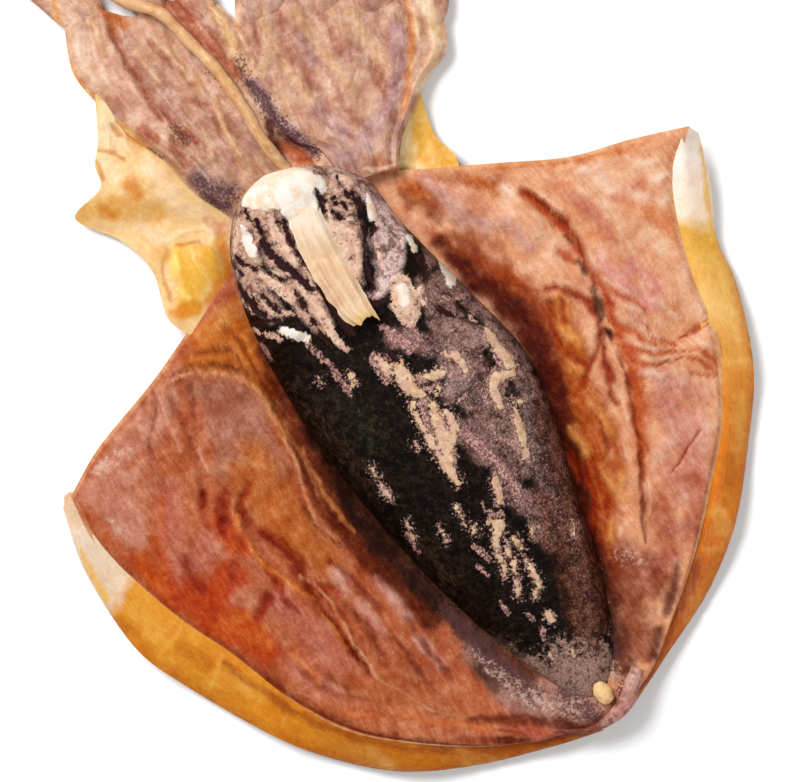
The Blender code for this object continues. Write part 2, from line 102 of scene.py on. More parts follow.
# Mound: the innards along the axis, one line for each edge and one for the crest height
MOUND_TAIL = -64.5
MOUND_HEAD = 60.2
MOUND_LEFT = [(-64.5, 0.8), (-62, -2.6), (-58, -5.5), (-44, -11), (-28, -15.5), (-11, -18.7),
              (6, -20.7), (23, -21), (38, -19.6), (49, -16.5), (55, -12.8), (58.8, -8.4),
              (60.2, -2)]
MOUND_RIGHT = [(-64.5, 0.8), (-62, 4), (-55, 9.3), (-40, 15.2), (-26, 18.2), (-11, 22.6),
               (3, 24.4), (19, 21.3), (37, 17.1), (48, 15.9), (53, 12.9), (57, 7.5), (60.2, -2)]
MOUND_CREST = [(-64.5, 5), (-58, 7.5), (-45, 10), (-28, 13.2), (-8, 15.6), (15, 16.2),
               (38, 15.4), (50, 14.5), (56, 11), (60.2, 5)]
MOUND_FOOT = 1.4
MOUND_FREE_FROM = 50.0
MOUND_BELLY = 0.6
MOUND_POLE = 1.5
RINGS_BY_HEIGHT = 0.65
SHOULDER_ROUND = 0.86
CREST_ROUND = 0.84

# Knob, its ribbed strap with the pit below it, and the lumps: place and size
KNOB_PLACE = (-1, 53, 9.8)
KNOB_SIZE = (10.6, 7, 5.6)
STRAP_LEFT = [(-0.8, 52.7), (-2.6, 48.6), (-3.8, 41.8), (-3.9, 34.4), (-3.4, 28.0), (-2.2, 25.3)]
STRAP_RIGHT = [(4.4, 49.0), (3.9, 43.2), (3.5, 36.4), (3.1, 30.5), (2.7, 26.5), (2.7, 24.2)]
STRAP_HEIGHT = 1.7
STRAP_RIB = 0.5
STRAP_PIT = (-0.8, 22, 4.2, 2.0)
STRAP_WAVES = 6
STRAP_SUNK = 1.2
LUMPS = [((-12.9, 30.5), (3.4, 2.1, 1.5)), ((9.2, 22.5), (2.2, 3.0, 1.5)),
         ((16.5, 33.3), (2.4, 2.8, 1.6)), ((1.6, -62.6), (1.5, 1.5, 1.4))]
LUMP_RISE = 0.8

# Head: two halves that lie open, in front of the neck
LEFT_HALF_OUTER = [(-18, 110), (-20.5, 106), (-23.5, 98), (-22.5, 90), (-20.5, 82), (-17, 73),
                   (-15.5, 65), (-12, 57), (-10, 48)]
LEFT_HALF_INNER = [(8, 96), (9.6, 91), (11.5, 86), (11, 79), (10, 70), (12, 62), (13, 48)]
LEFT_HALF_TOP = [(-18, 110), (-13, 107), (-7, 101.3), (0, 100.5), (8, 96)]
LEFT_HALF_NECK = [(-10, 48), (1, 46), (13, 48)]
RIGHT_HALF_INNER = [(12, 94), (9.3, 88.5), (7.3, 80), (5, 71), (5.5, 64), (10, 58), (11, 45)]
RIGHT_HALF_OUTER = [(47.5, 72.5), (45.3, 67.5), (42.5, 62.5), (37, 60.3), (31, 56), (25.5, 52),
                    (20.5, 45)]
RIGHT_HALF_TOP = [(12, 94), (23, 87), (35, 79.5), (47.5, 72.5)]
RIGHT_HALF_NECK = [(11, 45), (16, 44), (20.5, 45)]
LEFT_HALF_HEIGHT = (5.6, 3.6)
RIGHT_HALF_HEIGHT = (6.6, 4.0)
HALF_RIDGE = 0.5
HALF_LIFT = 0.9
HALF_EDGE = 1.4
HALF_FRONT = 1.6
LEFT_SEED = 151
RIGHT_SEED = 171
THROAT_PIT = (5.6, 61, 4.6, 3.0)
LIP_COVER = 1.0

# Arms: a line each, with the width at the root and the lift of the tip
ARMS = [([(-16, 103), (-20, 114), (-24.5, 124), (-25.5, 133)], 6.0, 1.0),
        ([(-13, 103), (-14.6, 114), (-16.5, 124), (-15, 132.5)], 6.0, 2.5),
        ([(-3, 96), (-3, 108), (-0.5, 120), (4.5, 131)], 8.0, 1.5),
        ([(4.5, 91), (6, 103), (9.5, 116), (15, 126)], 8.0, 0.5),
        ([(15, 84), (18.5, 97), (22.5, 110), (23, 121)], 9.5, 2.5),
        ([(24, 79), (29, 92), (34, 105), (40, 115)], 9.5, 1.0),
        ([(33, 74), (39, 85), (46, 96), (54, 104)], 9.5, 2.0),
        ([(40, 67), (47, 76), (55, 84), (64, 88)], 9.0, 3.0)]
ARM_TIP = 0.26
ARM_FLATTENED = 0.42
ARM_RISE = 0.8
TENTACLE = [(-4.5, 131, 3.4), (-8.5, 123, 3.0), (-9.6, 113, 3.2), (-7.2, 105, 4.4),
            (-2.4, 99, 5.2), (-0.6, 92, 5.0), (1.4, 83, 5.4), (1.9, 74, 5.8), (1.8, 66, 5.0),
            (3, 58, 3.4)]
TENTACLE_RADIUS = 1.25
CLUB_RADIUS = 2.3

# Collar: translucent skin on both sides of the neck
LEFT_COLLAR_OUTER = [(-22, 92), (-26.5, 84), (-29.5, 80), (-31, 75.5), (-38.5, 73), (-33, 64.5),
                     (-30.8, 56), (-33, 46), (-30, 39)]
LEFT_COLLAR_INNER = [(-20, 92), (-17, 82), (-14, 72), (-11, 60), (-9, 50), (-14, 44)]
RIGHT_COLLAR_OUTER = [(34, 58.6), (32.6, 54), (31.8, 49), (33, 43.5), (31, 38)]
RIGHT_COLLAR_INNER = [(29, 58), (22, 53), (17, 48), (16, 42)]
COLLAR_THICK = 1.2
COLLAR_HEIGHT = 2.2
COLLAR_WAVE = 0.9

# Rolled lip of skin and yellow bead at the tail
TAIL_LIP = [(-11, -64.3, 5.8), (-4, -68.2, 6.0), (4, -67.4, 6.4), (10, -62.5, 6.2)]
TAIL_LIP_RADIUS = 1.5
BEAD_PLACE = (1.7, -63.1, 6.6)
BEAD_SIZE = (1.8, 2.4, 1.7)

# How finely each piece is meshed
MANTLE_GRID = (236, 203)
FIN_GRID = (14, 420)
MOUND_RINGS = (280, 320)
HALF_GRID = (130, 190)
COLLAR_GRID = (60, 130)
STRAP_GRID = (70, 130)
ARM_RINGS = 110
TENTACLE_RINGS = 220
TAIL_LIP_RINGS = 90
BEAD_RINGS = (64, 40)

# Paint: how far outside a stroke it is measured, how far strokes sway, and the share of light kept
FAR = 3.5
STROKE_SWAY = 0.55
SHARE_KEPT = 0.77
NOISE_CELLS = 128


def tone(red, green, blue):
    """A colour as it shows, 0 to 255, as a share of the light that falls on it."""
    shown = np.array([red, green, blue]) / 255.0
    return SHARE_KEPT * np.where(shown <= 0.04045, shown / 12.92, ((shown + 0.055) / 1.055) ** 2.4)


# Camera and light
CAMERA_TURN = -31.7
CAMERA_CENTRE = (-1.2, 9.4)
CAMERA_HEIGHT = 0.8
CAMERA_FOCUS = 5.0
PICTURE_WIDTH = 160.0
SENSOR_WIDTH = 36
WORLD_LIGHT = 0.3
FLOOR_SIZE = 3.0
FLOOR_HEIGHT = -0.0004

# Lights, in metres: place across and up the picture, height, size, and power
KEY_LIGHT = (-0.5, 0.45, 0.75, 0.5, 13.0)
FILL_LIGHT = (0.7, -0.4, 0.7, 0.7, 5.0)

# Colours of the flesh
LEFT_FLESH = tone(188, 108, 72)
RIGHT_FLESH = tone(232, 172, 134)
LEFT_HEAD_FLESH = tone(214, 170, 142)
RIGHT_HEAD_FLESH = tone(212, 170, 146)
LEFT_COLLAR_FLESH = tone(240, 204, 148)
RIGHT_COLLAR_FLESH = tone(240, 196, 108)
DUSTY_PINK = tone(202, 140, 118)
RUST = tone(186, 98, 48)
LIP = tone(232, 178, 128)
EDGE_LINE = tone(138, 54, 24)
BACK_SKIN = tone(176, 118, 76)
BACK_PALE = tone(214, 172, 124)
BACK_DARK = tone(104, 66, 54)
SPECK_PLUM = tone(84, 50, 54)
SPECK_PALE = tone(222, 186, 168)
BLUSH = (0.9, 0.62, 0.5)
HEAD_BROWN = tone(172, 118, 98)
HEAD_LILAC = tone(178, 136, 136)
ARM_END = tone(178, 108, 66)
ARM_SIDE = tone(226, 178, 130)
TENTACLE_TONES = (tone(228, 184, 138), tone(204, 146, 98), tone(244, 214, 172))
TAIL_LIP_TONES = (tone(200, 150, 138), tone(126, 66, 50), tone(230, 194, 182))
BEAD_YELLOW = tone(246, 208, 156)
# Painted shade for the underside of the bead
BEAD_PAINTED_SHADE = tone(220, 160, 104)

# Colours of the fins, from the head end to the tail
AMBER_DARK = tone(196, 116, 30)
FIN_PALE = tone(242, 200, 124)
LEFT_FIN_BANDS = [(0.0, (236, 196, 150)), (0.05, (243, 222, 200)), (0.163, (242, 216, 186)),
                  (0.187, (230, 164, 62)), (0.5, (226, 150, 44)), (0.72, (216, 138, 34)),
                  (0.86, (186, 100, 18)), (1.0, (150, 72, 12))]
# The right fin's cream head end goes past white: painted light that lifts the shade it lies in
RIGHT_FIN_BANDS = [(0.0, (252, 236, 212)), (0.04, (274, 256, 244)), (0.14, (268, 246, 222)),
                   (0.17, (244, 190, 84)), (0.3, (250, 204, 128)), (0.42, (234, 162, 70)),
                   (0.62, (240, 144, 30)), (0.85, (204, 108, 16)), (1.0, (176, 86, 18))]

# Colours of the ink-coated mound and its strap
INK_BLACK = tone(24, 13, 6)
INK_SOOT = tone(12, 8, 6)
INK_PLUM = tone(50, 24, 26)
FLAKE_CREAM = tone(236, 204, 168)
FLAKE_TAN = tone(210, 162, 126)
FLAKE_EDGE = tone(112, 72, 50)
FLESH_PINK = tone(214, 164, 142)
FLESH_CREAM = tone(240, 206, 180)
ROSY_DARK = tone(120, 76, 70)
GRAIN_PALE = tone(226, 186, 176)
ROSY_PALE = tone(220, 172, 160)
KNOB_CREAM = tone(250, 238, 226)
KNOB_TAN = tone(240, 212, 180)
FROST_PALE = tone(196, 158, 140)
FROST_GREY = tone(134, 100, 86)
CLOUD_BROWN = tone(120, 70, 56)
STRAP_CREAM = tone(240, 212, 178)
# Painted shade for the grooves between the strap's ribs
STRAP_GROOVE_SHADE = tone(228, 194, 156)
STRAP_ROOT = tone(246, 228, 208)
STRAP_PINK = tone(224, 176, 150)
STRAP_END = tone(226, 196, 128)

# Finishes: streaks and their size, mottle, grain, relief, gloss, glow, gleam, and False for no specks
MANTLE_FINISH = (0.16, (0.9, 4.5), 0.2, 0.4, 0.26, 0.4, 0.05, 0.07)
HEAD_FINISH = (0.17, (0.9, 5.0), 0.28, 0.4, 0.22, 0.46, 0.05, 0.12)
TAIL_FINISH = (0.2, (0.5, 3.0), 0.25, 0.4, 0.22, 0.5, 0.08, 0.12)
FIN_FINISH = (0.1, (0.6, 3.0), 0.1, 0.6, 0.12, 0.34, 0.16, 0.15, False)
COLLAR_FINISH = (0.1, (0.8, 4.0), 0.1, 0.8, 0.14, 0.36, 0.16, 0.15, False)
STRAP_FINISH = (0.08, (0.35, 5.0), 0.1, 0.4, 0.12, 0.42, 0.12, 0.12, False)
TENTACLE_FINISH = (0.15, (0.4, 4.0), 0.14, 0.4, 0.15, 0.4, 0.2, 0.15, False)

# Specks: where they lie, size, detail, roughness, gain, upper edge, strength, colour
SPECKS = [("dark_specks", 0.55, 3, 0.75, 0.24, 0.72, 0.85, SPECK_PLUM),
          ("pale_specks", 1.2, 6, 0.85, 0.2, 0.76, 0.6, SPECK_PALE)]

# Paint: colour, share, softness and relief in millimetres, strokes of x, y and half width
MANTLE_PAINT = [
    ((202, 120, 44), 0.9, 2, 0, [  # orange fan of skin beside the neck
      [(-29, 38.6, 2.8), (-22, 36.6, 2.4), (-23.5, 30.5, 2.2), (-23.9, 21.4, 1.8), (-24.9, 13.7, 1.4)],
      [(-33.9, 36.5, 1), (-27.9, 32.8, 1.6)]]),
    ((222, 150, 84), 0.7, 1.2, 0, [  # amber skin at the neck
      [(-28.5, 39.5, 1.6), (-23.8, 40.6, 1.6), (-20.3, 41.4, 1.2)]]),
    ((138, 62, 16), 0.85, 0.6, -0.35, [  # dark creases of the fan
      [(-35, 36.2, 0.2), (-29.9, 33.5, 0.2), (-26.2, 29.8, 0.2)], [(-27.9, 36.7, 0.2), (-25.2, 33.4, 0.2),
       (-25.1, 27.9, 0.2)], [(-24.1, 39.1, 0.2), (-23.1, 33.8, 0.2), (-23.5, 25.8, 0.3),
       (-23.8, 16.6, 0.3)], [(-32, 37.6, 0.2), (-26.7, 34.8, 0.2)]]),
    ((176, 118, 94), 0.85, 2.2, 0.3, [  # grey lilac plateau
      [(-34.5, 29.8, 2), (-31.4, 27.2, 2.6), (-29.1, 23.4, 3), (-29.8, 15.6, 2.4), (-30.3, 8.8, 1.6)],
      [(-34, 24.1, 3.6), (-35, 17.6, 3.6), (-38.8, 14.1, 2)]]),
    ((206, 146, 122), 0.8, 2.2, 0.1, [  # pale plateau by the edge
      [(-42.2, 32.6, 2), (-50.6, 28.4, 3), (-59.6, 24.6, 3.2), (-65.8, 23.7, 1.6)],
      [(-61.4, 18.6, 3.4), (-61.4, 12.8, 2)]]),
    ((194, 112, 52), 0.85, 3, 0, [  # golden brown slope
      [(-36.7, 10.9, 2.8), (-34.5, 3.2, 3.6), (-33.4, -4.5, 3.2), (-30.9, -12, 1.6)],
      [(-32.6, 13.8, 2), (-32.2, 3, 2.4)]]),
    ((200, 126, 106), 0.7, 2.2, 0, [  # salmon flank
      [(-50.4, 16.6, 1.8), (-55.7, 8.1, 2), (-60.2, -0.9, 1.6)], [(-53, 1.7, 2), (-49.2, 4.1, 1.6)],
      [(-43.6, -13.5, 1.8), (-41.3, -22, 2.4), (-39.1, -30.9, 2)], [(-50.2, -7.1, 1.2), (-54.1, -9.9, 1)],
      [(-47.3, -27.2, 1.4), (-43.1, -35.5, 1.2)]]),
    ((192, 78, 22), 0.9, 2.2, 0, [  # orange red flank
      [(-45.5, 5.5, 1.4), (-44.9, -0.5, 1.4)], [(-57.2, -3.2, 2.6), (-56.6, -9.7, 3.4), (-52.5, -16.5, 2.6),
       (-51.1, -21.1, 1.6)], [(-62.6, 5.3, 1.6), (-61.2, -3.1, 1.8)], [(-49.1, -4.2, 2.6),
       (-55, -6.5, 2.6)]]),
    ((198, 94, 34), 0.8, 1.8, 0.1, [  # bright orange flank
      [(-53.6, -12.5, 2.6), (-50.8, -16.1, 2.2)], [(-63.2, 8, 1), (-62.4, 1.7, 1)],
      [(-58.4, 9.7, 0.8), (-60, 3.7, 0.8)]]),
    ((192, 96, 56), 0.6, 1, -0.1, [  # rust near the corner
      [(-67, 23.3, 0.6), (-66.3, 18.2, 0.8), (-65.4, 12.9, 0.8), (-64.3, 8.2, 0.8)],
      [(-55.8, 24.6, 0.4), (-50, 25.7, 0.4)], [(-53.5, 16.1, 0.8), (-56.2, 10.7, 0.8), (-59.8, 5.9, 0.8)]]),
    ((150, 82, 58), 0.5, 0.6, -0.45, [  # lines of the plateau
      [(-43.4, 36.2, 0.2), (-44.4, 31.6, 0.2), (-48.6, 27.2, 0.2), (-51, 21.6, 0.2), (-51.3, 16.6, 0.2)],
      [(-41, 31.9, 0.2), (-41.2, 26.2, 0.3), (-43, 20.2, 0.3), (-44.8, 13.5, 0.3), (-46.9, 9.7, 0.2)],
      [(-35.6, 32.1, 0.2), (-41.1, 22.6, 0.2)], [(-50.7, 32, 0.2), (-45.6, 34.7, 0.2)]]),
    ((222, 168, 138), 0.6, 0.6, 0.3, [  # painted highlight beside the lines
      [(-42.3, 33.2, 0.2), (-43.6, 27.6, 0.3), (-44.7, 22, 0.2)], [(-54, 30.5, 0.2), (-48, 32.7, 0.2)],
      [(-41.6, 20.5, 0.2), (-42.2, 16.2, 0.3)]]),
    ((158, 48, 12), 0.88, 1, -0.5, [  # red folds, their red deepened with painted shade beside the ridges
      [(-41.6, 10.2, 0.6), (-43.9, 7.4, 1.2), (-46.3, 4.2, 0.8)], [(-45.5, 12.4, 0.5), (-47.5, 9.6, 0.6)],
      [(-39.5, -0.3, 0.5), (-37.5, -5.5, 0.7), (-37.3, -10.8, 0.8)], [(-36.3, -8.6, 0.3),
       (-37.1, -12.8, 0.5), (-37.5, -15.8, 0.5)], [(-35.5, -15.7, 0.8), (-32.5, -17.6, 0.6)],
      [(-41, 2.1, 0.4), (-40.7, 6.4, 0.4), (-36.2, 9.2, 0.2)], [(-45.1, -12.1, 0.8), (-48.6, -14, 0.6)],
      [(-37.4, -18, 0.4), (-37.1, -23.9, 0.5), (-36.6, -29.6, 0.5), (-35.3, -35.1, 0.4)],
      [(-42.1, -7.3, 0.4), (-42, -12.1, 0.4)]]),
    ((112, 34, 12), 0.7, 0.8, -0.25, [  # dark hearts of the folds, their red deepened with painted shade
      [(-42.5, 9.3, 0.2), (-44.9, 6.1, 0.3)], [(-39.7, -0.4, 0.2), (-38.6, -3.2, 0.3), (-37.5, -7.4, 0.4),
       (-37.4, -11.5, 0.4)], [(-36.6, -9.8, 0.2), (-37, -13.8, 0.3), (-37.3, -16.7, 0.3),
       (-34.9, -17, 0.4)], [(-37.1, -18.9, 0.2), (-36.9, -24.7, 0.3), (-36.3, -30.2, 0.3),
       (-35.2, -35.6, 0.2)], [(-40.5, 2.9, 0.2), (-40.2, 6, 0.2)], [(-42.6, -14.1, 0.2),
       (-41.8, -17.4, 0.2)]]),
    ((144, 44, 24), 0.75, 1.4, -0.2, [  # wine red painted shade beside the folds
      [(-42.5, -13.7, 0.4), (-41.5, -17.6, 0.4)], [(-46.2, -2.5, 0.4), (-49.7, -5.1, 0.6)],
      [(-35.1, -18.8, 0.4), (-34.1, -22.9, 0.4)], [(-55.1, 3, 0.4), (-56.2, -3.4, 0.6)]]),
    ((226, 140, 72), 0.85, 0.5, 0.45, [  # orange ridge
      [(-42.3, 5.4, 0.3), (-42.9, 0.6, 0.3), (-42.9, -3.6, 0.3), (-41.5, -8.7, 0.3), (-39.1, -13.9, 0.3),
       (-37.8, -16.6, 0.2)], [(-37.8, -18.2, 0.2), (-37.6, -22.8, 0.2), (-37.3, -28.4, 0.2)]]),
    ((240, 184, 138), 0.7, 0.45, 0.4, [  # pale ridge, painted highlight along its crest
      [(-34.8, -19, 0.1), (-35.3, -25.2, 0.1), (-35.5, -31.7, 0.1), (-34.6, -36.9, 0.2), (-32.5, -42, 0.2),
       (-30.1, -46.8, 0.2), (-26.5, -51.3, 0.1)], [(-37.7, -11.5, 0.1), (-35.9, -15.2, 0.1),
       (-34.6, -19.5, 0.1)], [(-28.3, -2, 0.1), (-28.1, -7.4, 0.1), (-26.8, -11, 0.1)]]),
    ((146, 68, 24), 0.85, 2.2, 0, [  # brown slope to the mound
      [(-18.4, 35.6, 1.2), (-20.5, 23.9, 2.2), (-23, 13.7, 2.8), (-24.7, 4.2, 3), (-24.6, -6.4, 3),
       (-23.2, -17.8, 2.8), (-19.8, -30.1, 2.4)]]),
    ((100, 36, 9), 0.85, 1.6, 0, [  # dark slope, its dark brown deepened with painted shade in the valley beside the mound
      [(-19.9, 31.8, 0.8), (-20.9, 21.8, 1.8), (-22.5, 13.4, 2.4), (-24.2, 3.9, 2.6), (-24.4, -5.2, 2.6),
       (-23.7, -14, 2.2), (-22.3, -23.9, 1.8), (-20, -33.2, 1.6)]]),
    ((44, 17, 5), 0.95, 1.8, 0, [  # ink stain beside the mound
      [(-17.3, 29, 1), (-18.4, 15.1, 1.8), (-19.7, 2.3, 2.6), (-20, -8.1, 2.8), (-18.6, -19.5, 3),
       (-16, -30.5, 2.8), (-12.8, -42, 2.4)]]),
    ((124, 58, 26), 0.65, 0.7, -0.3, [  # shade above the plateau
      [(-38.4, 36, 0.2), (-31.9, 34, 0.2), (-26.1, 30, 0.2), (-23.9, 24.4, 0.3), (-24.2, 15.6, 0.3),
       (-25, 7.5, 0.3), (-26.1, 1.1, 0.2)]]),
    ((228, 166, 122), 0.75, 0.5, 0.35, [  # rim of the plateau, painted highlight along its crest
      [(-41.7, 35.2, 0.1), (-36.9, 34.6, 0.2), (-32.6, 32.8, 0.2), (-27.3, 28.9, 0.2), (-25.5, 24.2, 0.2),
       (-25.7, 16.6, 0.2), (-26.5, 8.4, 0.2), (-28.5, 0.7, 0.2), (-29.3, -4.7, 0.1)]]),
    ((206, 136, 84), 0.7, 0.5, 0.25, [  # threads along the slope
      [(-24.9, 14.9, 0.2), (-24.8, 7.4, 0.2), (-26.1, 0.4, 0.2)], [(-25.1, 23.3, 0.2), (-24.4, 15.7, 0.2)],
      [(-24.1, 9.7, 0.1), (-24.7, 1.1, 0.2), (-24.6, -6.4, 0.2)], [(-24.6, -1.7, 0.1), (-24, -9.2, 0.2)]]),
    ((110, 50, 24), 0.7, 0.5, -0.25, [  # dark threads along the slope
      [(-24.8, 20.7, 0.2), (-24.7, 11, 0.2), (-25.9, 3.8, 0.2), (-26.5, -1.8, 0.2)],
      [(-29.7, 1.4, 0.2), (-29.6, -5.2, 0.2), (-27.9, -11, 0.2)], [(-22.6, 20.5, 0.2),
       (-22.3, 13.3, 0.2)]]),
    ((218, 162, 146), 0.75, 1.2, 0.3, [  # pink sheen below the slope
      [(-30.9, -15, 1), (-31, -18.9, 0.8)], [(-25.3, -20.1, 0.6), (-24.2, -25.9, 0.8), (-23.7, -30, 0.6)],
      [(-30.3, -21.7, 0.4), (-29.6, -29.7, 0.5)], [(-24, -35, 0.8), (-23.2, -41.4, 0.8)]]),
    ((132, 58, 38), 0.7, 0.6, -0.3, [  # folds below the slope
      [(-32.9, -20.8, 0.3), (-31.9, -26.9, 0.4), (-31.4, -33.3, 0.3)], [(-30.9, -12, 0.2),
       (-28.5, -19.5, 0.3), (-27.5, -26.3, 0.3)], [(-23.9, -30.4, 0.3), (-23.5, -38.8, 0.4),
       (-22.7, -45.2, 0.3)], [(-28.2, -32.4, 0.2), (-27.3, -40.5, 0.3), (-26, -47.9, 0.2)]]),
    ((198, 120, 82), 0.7, 2.2, 0, [  # tan lower lobe
      [(-32.8, -41.8, 2.4), (-25.8, -49.4, 2.2), (-18.4, -56.4, 1.4)], [(-46.4, -37.1, 1.6),
       (-39.6, -45.1, 1.6), (-31.7, -51.4, 1.2)]]),
    ((166, 126, 112), 0.9, 1.8, 0.2, [  # grey skin at the tail
      [(-16.5, -42, 1.4), (-14.8, -49.1, 2.4), (-12.4, -55.8, 2.8), (-8.4, -61.6, 2.2), (-3, -65.8, 1.8)],
      [(-8.6, -55.8, 1.6), (-5.1, -60.8, 1.6), (-0.8, -64.4, 1.4)]]),
    ((84, 50, 34), 0.85, 1.8, 0, [  # brown soil at the tail
      [(-15.5, -29, 1.6), (-14, -35.6, 2.2), (-13.1, -41.7, 2.4), (-11.4, -47.5, 2), (-9, -52.7, 1.4)],
      [(-17.1, -45.9, 0.5), (-15.6, -51.9, 0.5)]]),
    ((134, 60, 32), 0.65, 0.8, -0.25, [  # brown streaks of the lower lobe
      [(-54.2, -23.9, 0.4), (-52.2, -29.3, 0.6), (-49.4, -35.1, 0.5), (-44.6, -41.8, 0.5)],
      [(-47.3, -27.2, 0.4), (-44.6, -34.1, 0.4), (-38.7, -40.5, 0.3)], [(-43.1, -31.7, 0.4),
       (-40.8, -36.4, 0.4)], [(-40.8, -47, 0.5), (-33, -53.4, 0.5), (-24.3, -58.3, 0.5),
       (-17.7, -62.9, 0.4)]]),
    ((212, 118, 60), 0.6, 0.8, 0.2, [  # orange streaks of the lower lobe
      [(-46.7, -24.5, 0.4), (-45.2, -31.3, 0.5)], [(-35, -45.2, 0.4), (-29.4, -51.4, 0.5),
       (-21.3, -57.4, 0.4)], [(-44.3, -39.4, 0.4), (-39.8, -43.6, 0.4)]]),
    ((186, 98, 78), 0.85, 0.8, 0.6, [  # red fold at the tail
      [(-19.4, -58.1, 0.4), (-15.6, -61.4, 0.8), (-12.5, -65.2, 0.8), (-10.6, -67.7, 0.4)]]),
    ((112, 44, 26), 0.8, 0.9, -0.4, [  # shade round the tail fold
      [(-23.9, -53.9, 0.4), (-17.8, -57.4, 0.6), (-11.3, -62.1, 0.8), (-6.9, -66.3, 0.8),
       (-4.4, -68.8, 0.4)], [(-20.7, -60.1, 0.4), (-15.3, -64.8, 0.4)]]),
    ((178, 106, 68), 0.85, 2.4, 0, [  # tan brown skin at the neck
      [(20.5, 42.8, 1.8), (25.5, 37.4, 2.8), (30.9, 31, 2.4)], [(26.1, 42.2, 1.4), (37.6, 34.2, 1.4)],
      [(26.6, 27.8, 2.6), (29.4, 20.9, 1.8)]]),
    ((196, 108, 46), 0.75, 1.4, 0, [  # orange patches at the neck
      [(21.3, 44, 1), (23.6, 40.2, 1)], [(32.9, 38, 0.8), (36.1, 33.7, 1)], [(28, 18.7, 1.2),
       (30.9, 15.7, 1.2)]]),
    ((228, 172, 140), 0.85, 1.2, 0.25, [  # pale streak at the neck
      [(25.6, 42.2, 0.6), (28.5, 37.4, 1.2), (31.5, 32.7, 1.6), (33.1, 27, 1.2)],
      [(28.2, 25.1, 0.8), (29.4, 20.9, 0.6)]]),
    ((238, 190, 156), 0.85, 2, 0, [  # peach skin
      [(37.6, 32.7, 1), (37.6, 28.9, 1.2)], [(39.1, 25.2, 1.6), (39.3, 19.9, 2), (40.5, 16.1, 1.4)],
      [(52.2, 25.6, 1.8), (62.6, 21.5, 2), (66.7, 15.9, 1.4)], [(58, 10.2, 1.8), (59.3, -3, 2),
       (57.5, -7.8, 1.6)], [(52.9, 20.9, 1.2), (54, 13.2, 1.6)]]),
    ((252, 224, 204), 0.6, 0.9, 0.15, [  # white gleams
      [(37.9, 33.5, 0.5), (38, 31.1, 0.5)], [(58.4, 19.2, 0.6), (61, 16.9, 0.6)],
      [(55, 24.3, 0.6), (56, 21.4, 0.6)], [(64.3, 18.6, 0.5), (67, 17.9, 0.5)], [(62.6, 13.8, 0.5),
       (64.7, 14.1, 0.4)], [(63.4, 22.7, 0.4), (66.2, 21.6, 0.4)], [(52.6, 28.1, 0.4), (56.5, 26.7, 0.4)]]),
    ((222, 142, 92), 0.75, 1.8, 0, [  # orange near the fin
      [(59.7, 13.7, 1.4), (61.9, 9.7, 1.6), (62.5, 5.6, 1)], [(47.5, 16, 0.8), (51.6, 14.2, 0.8)]]),
    ((212, 136, 112), 0.75, 1.2, 0, [  # salmon streaks
      [(48.3, 24.2, 0.8), (50.6, 17.2, 1.2), (50.4, 12.4, 0.8)], [(47.1, 26.8, 0.6), (48.8, 20, 0.8)],
      [(61.3, 19.3, 0.6), (55.4, 19.4, 0.6)], [(70.2, 18.5, 0.6), (65.5, 16.7, 0.6)]]),
    ((224, 154, 146), 0.75, 1.8, 0, [  # pink skin above the wrinkles
      [(46.6, 10.7, 1), (47.9, 4.5, 1.2), (50.5, -2, 1.2)], [(51.2, 6.7, 1), (53.6, -0.7, 1)]]),
    ((212, 144, 126), 0.75, 2.6, 0, [  # pink plateau
      [(42.4, -19.6, 2.4), (43, -29.4, 2.8), (37.7, -37.9, 2.4), (35.6, -31.8, 2)],
      [(44.5, -17.4, 1.6), (49.4, -22.8, 1.4)]]),
    ((234, 182, 164), 0.6, 1.6, 0.15, [  # sheen of the plateau
      [(43.6, -24.6, 1.2), (44, -32.3, 1.2)], [(36.8, -27.9, 0.8), (40.3, -26.8, 0.6)],
      [(43.3, -13.6, 0.6), (47.6, -18.1, 0.6)], [(47.8, -25.3, 0.6), (46.6, -29.2, 0.6)]]),
    ((182, 92, 62), 0.7, 2.4, 0, [  # rusty lower right
      [(30.7, -35.9, 1.6), (28.7, -44.1, 1.8), (24, -49.4, 1.8)], [(38.8, -36.2, 1.2), (38.4, -40.6, 1.2),
       (32.5, -46.4, 1.2)]]),
    ((188, 116, 98), 0.7, 1.6, 0.15, [  # lilac lower right
      [(19, -41.6, 1.4), (21.7, -44.9, 1.4), (20.8, -50.9, 1.4)], [(29.8, -42.4, 1), (34.9, -43.2, 1)],
      [(27.8, -47, 1), (24.2, -48.3, 0.8)]]),
    ((112, 54, 34), 0.92, 2.4, 0, [  # brown by the tail
      [(15.7, -40.7, 1.6), (13.6, -46.5, 2.4), (10.6, -52.9, 3), (7.1, -59.4, 2.8)]]),
    ((148, 78, 50), 0.85, 2.4, 0, [  # brown lower right
      [(20.1, -40.6, 1.6), (18.2, -48.2, 2.2), (15.2, -54.5, 2.4), (14, -60.3, 2.2)],
      [(23.9, -45.8, 1.4), (22.1, -51.7, 1.6)]]),
    ((196, 146, 124), 0.3, 0.9, 0.2, [  # grey gleams lower right
      [(15.5, -45.8, 0.5), (13.7, -49.4, 0.6)], [(19.4, -54.3, 0.7), (19.2, -56.5, 0.7)],
      [(15.9, -55, 0.5), (17, -56.1, 0.4)], [(21.9, -39.9, 0.4), (22.7, -43.2, 0.4)]]),
    ((96, 38, 24), 0.8, 1.4, -0.2, [  # dark shade lower right
      [(27.1, -49.7, 0.6), (24.2, -53, 0.8), (21, -56.2, 0.8)], [(17.9, -58.5, 0.5), (14.6, -62.4, 0.6)],
      [(10.5, -49.3, 0.8), (10.3, -52.6, 0.6)], [(9.8, -61.8, 0.6), (7.5, -62, 0.6)]]),
    ((158, 66, 18), 0.88, 2.6, 0, [  # brown halo of the trough
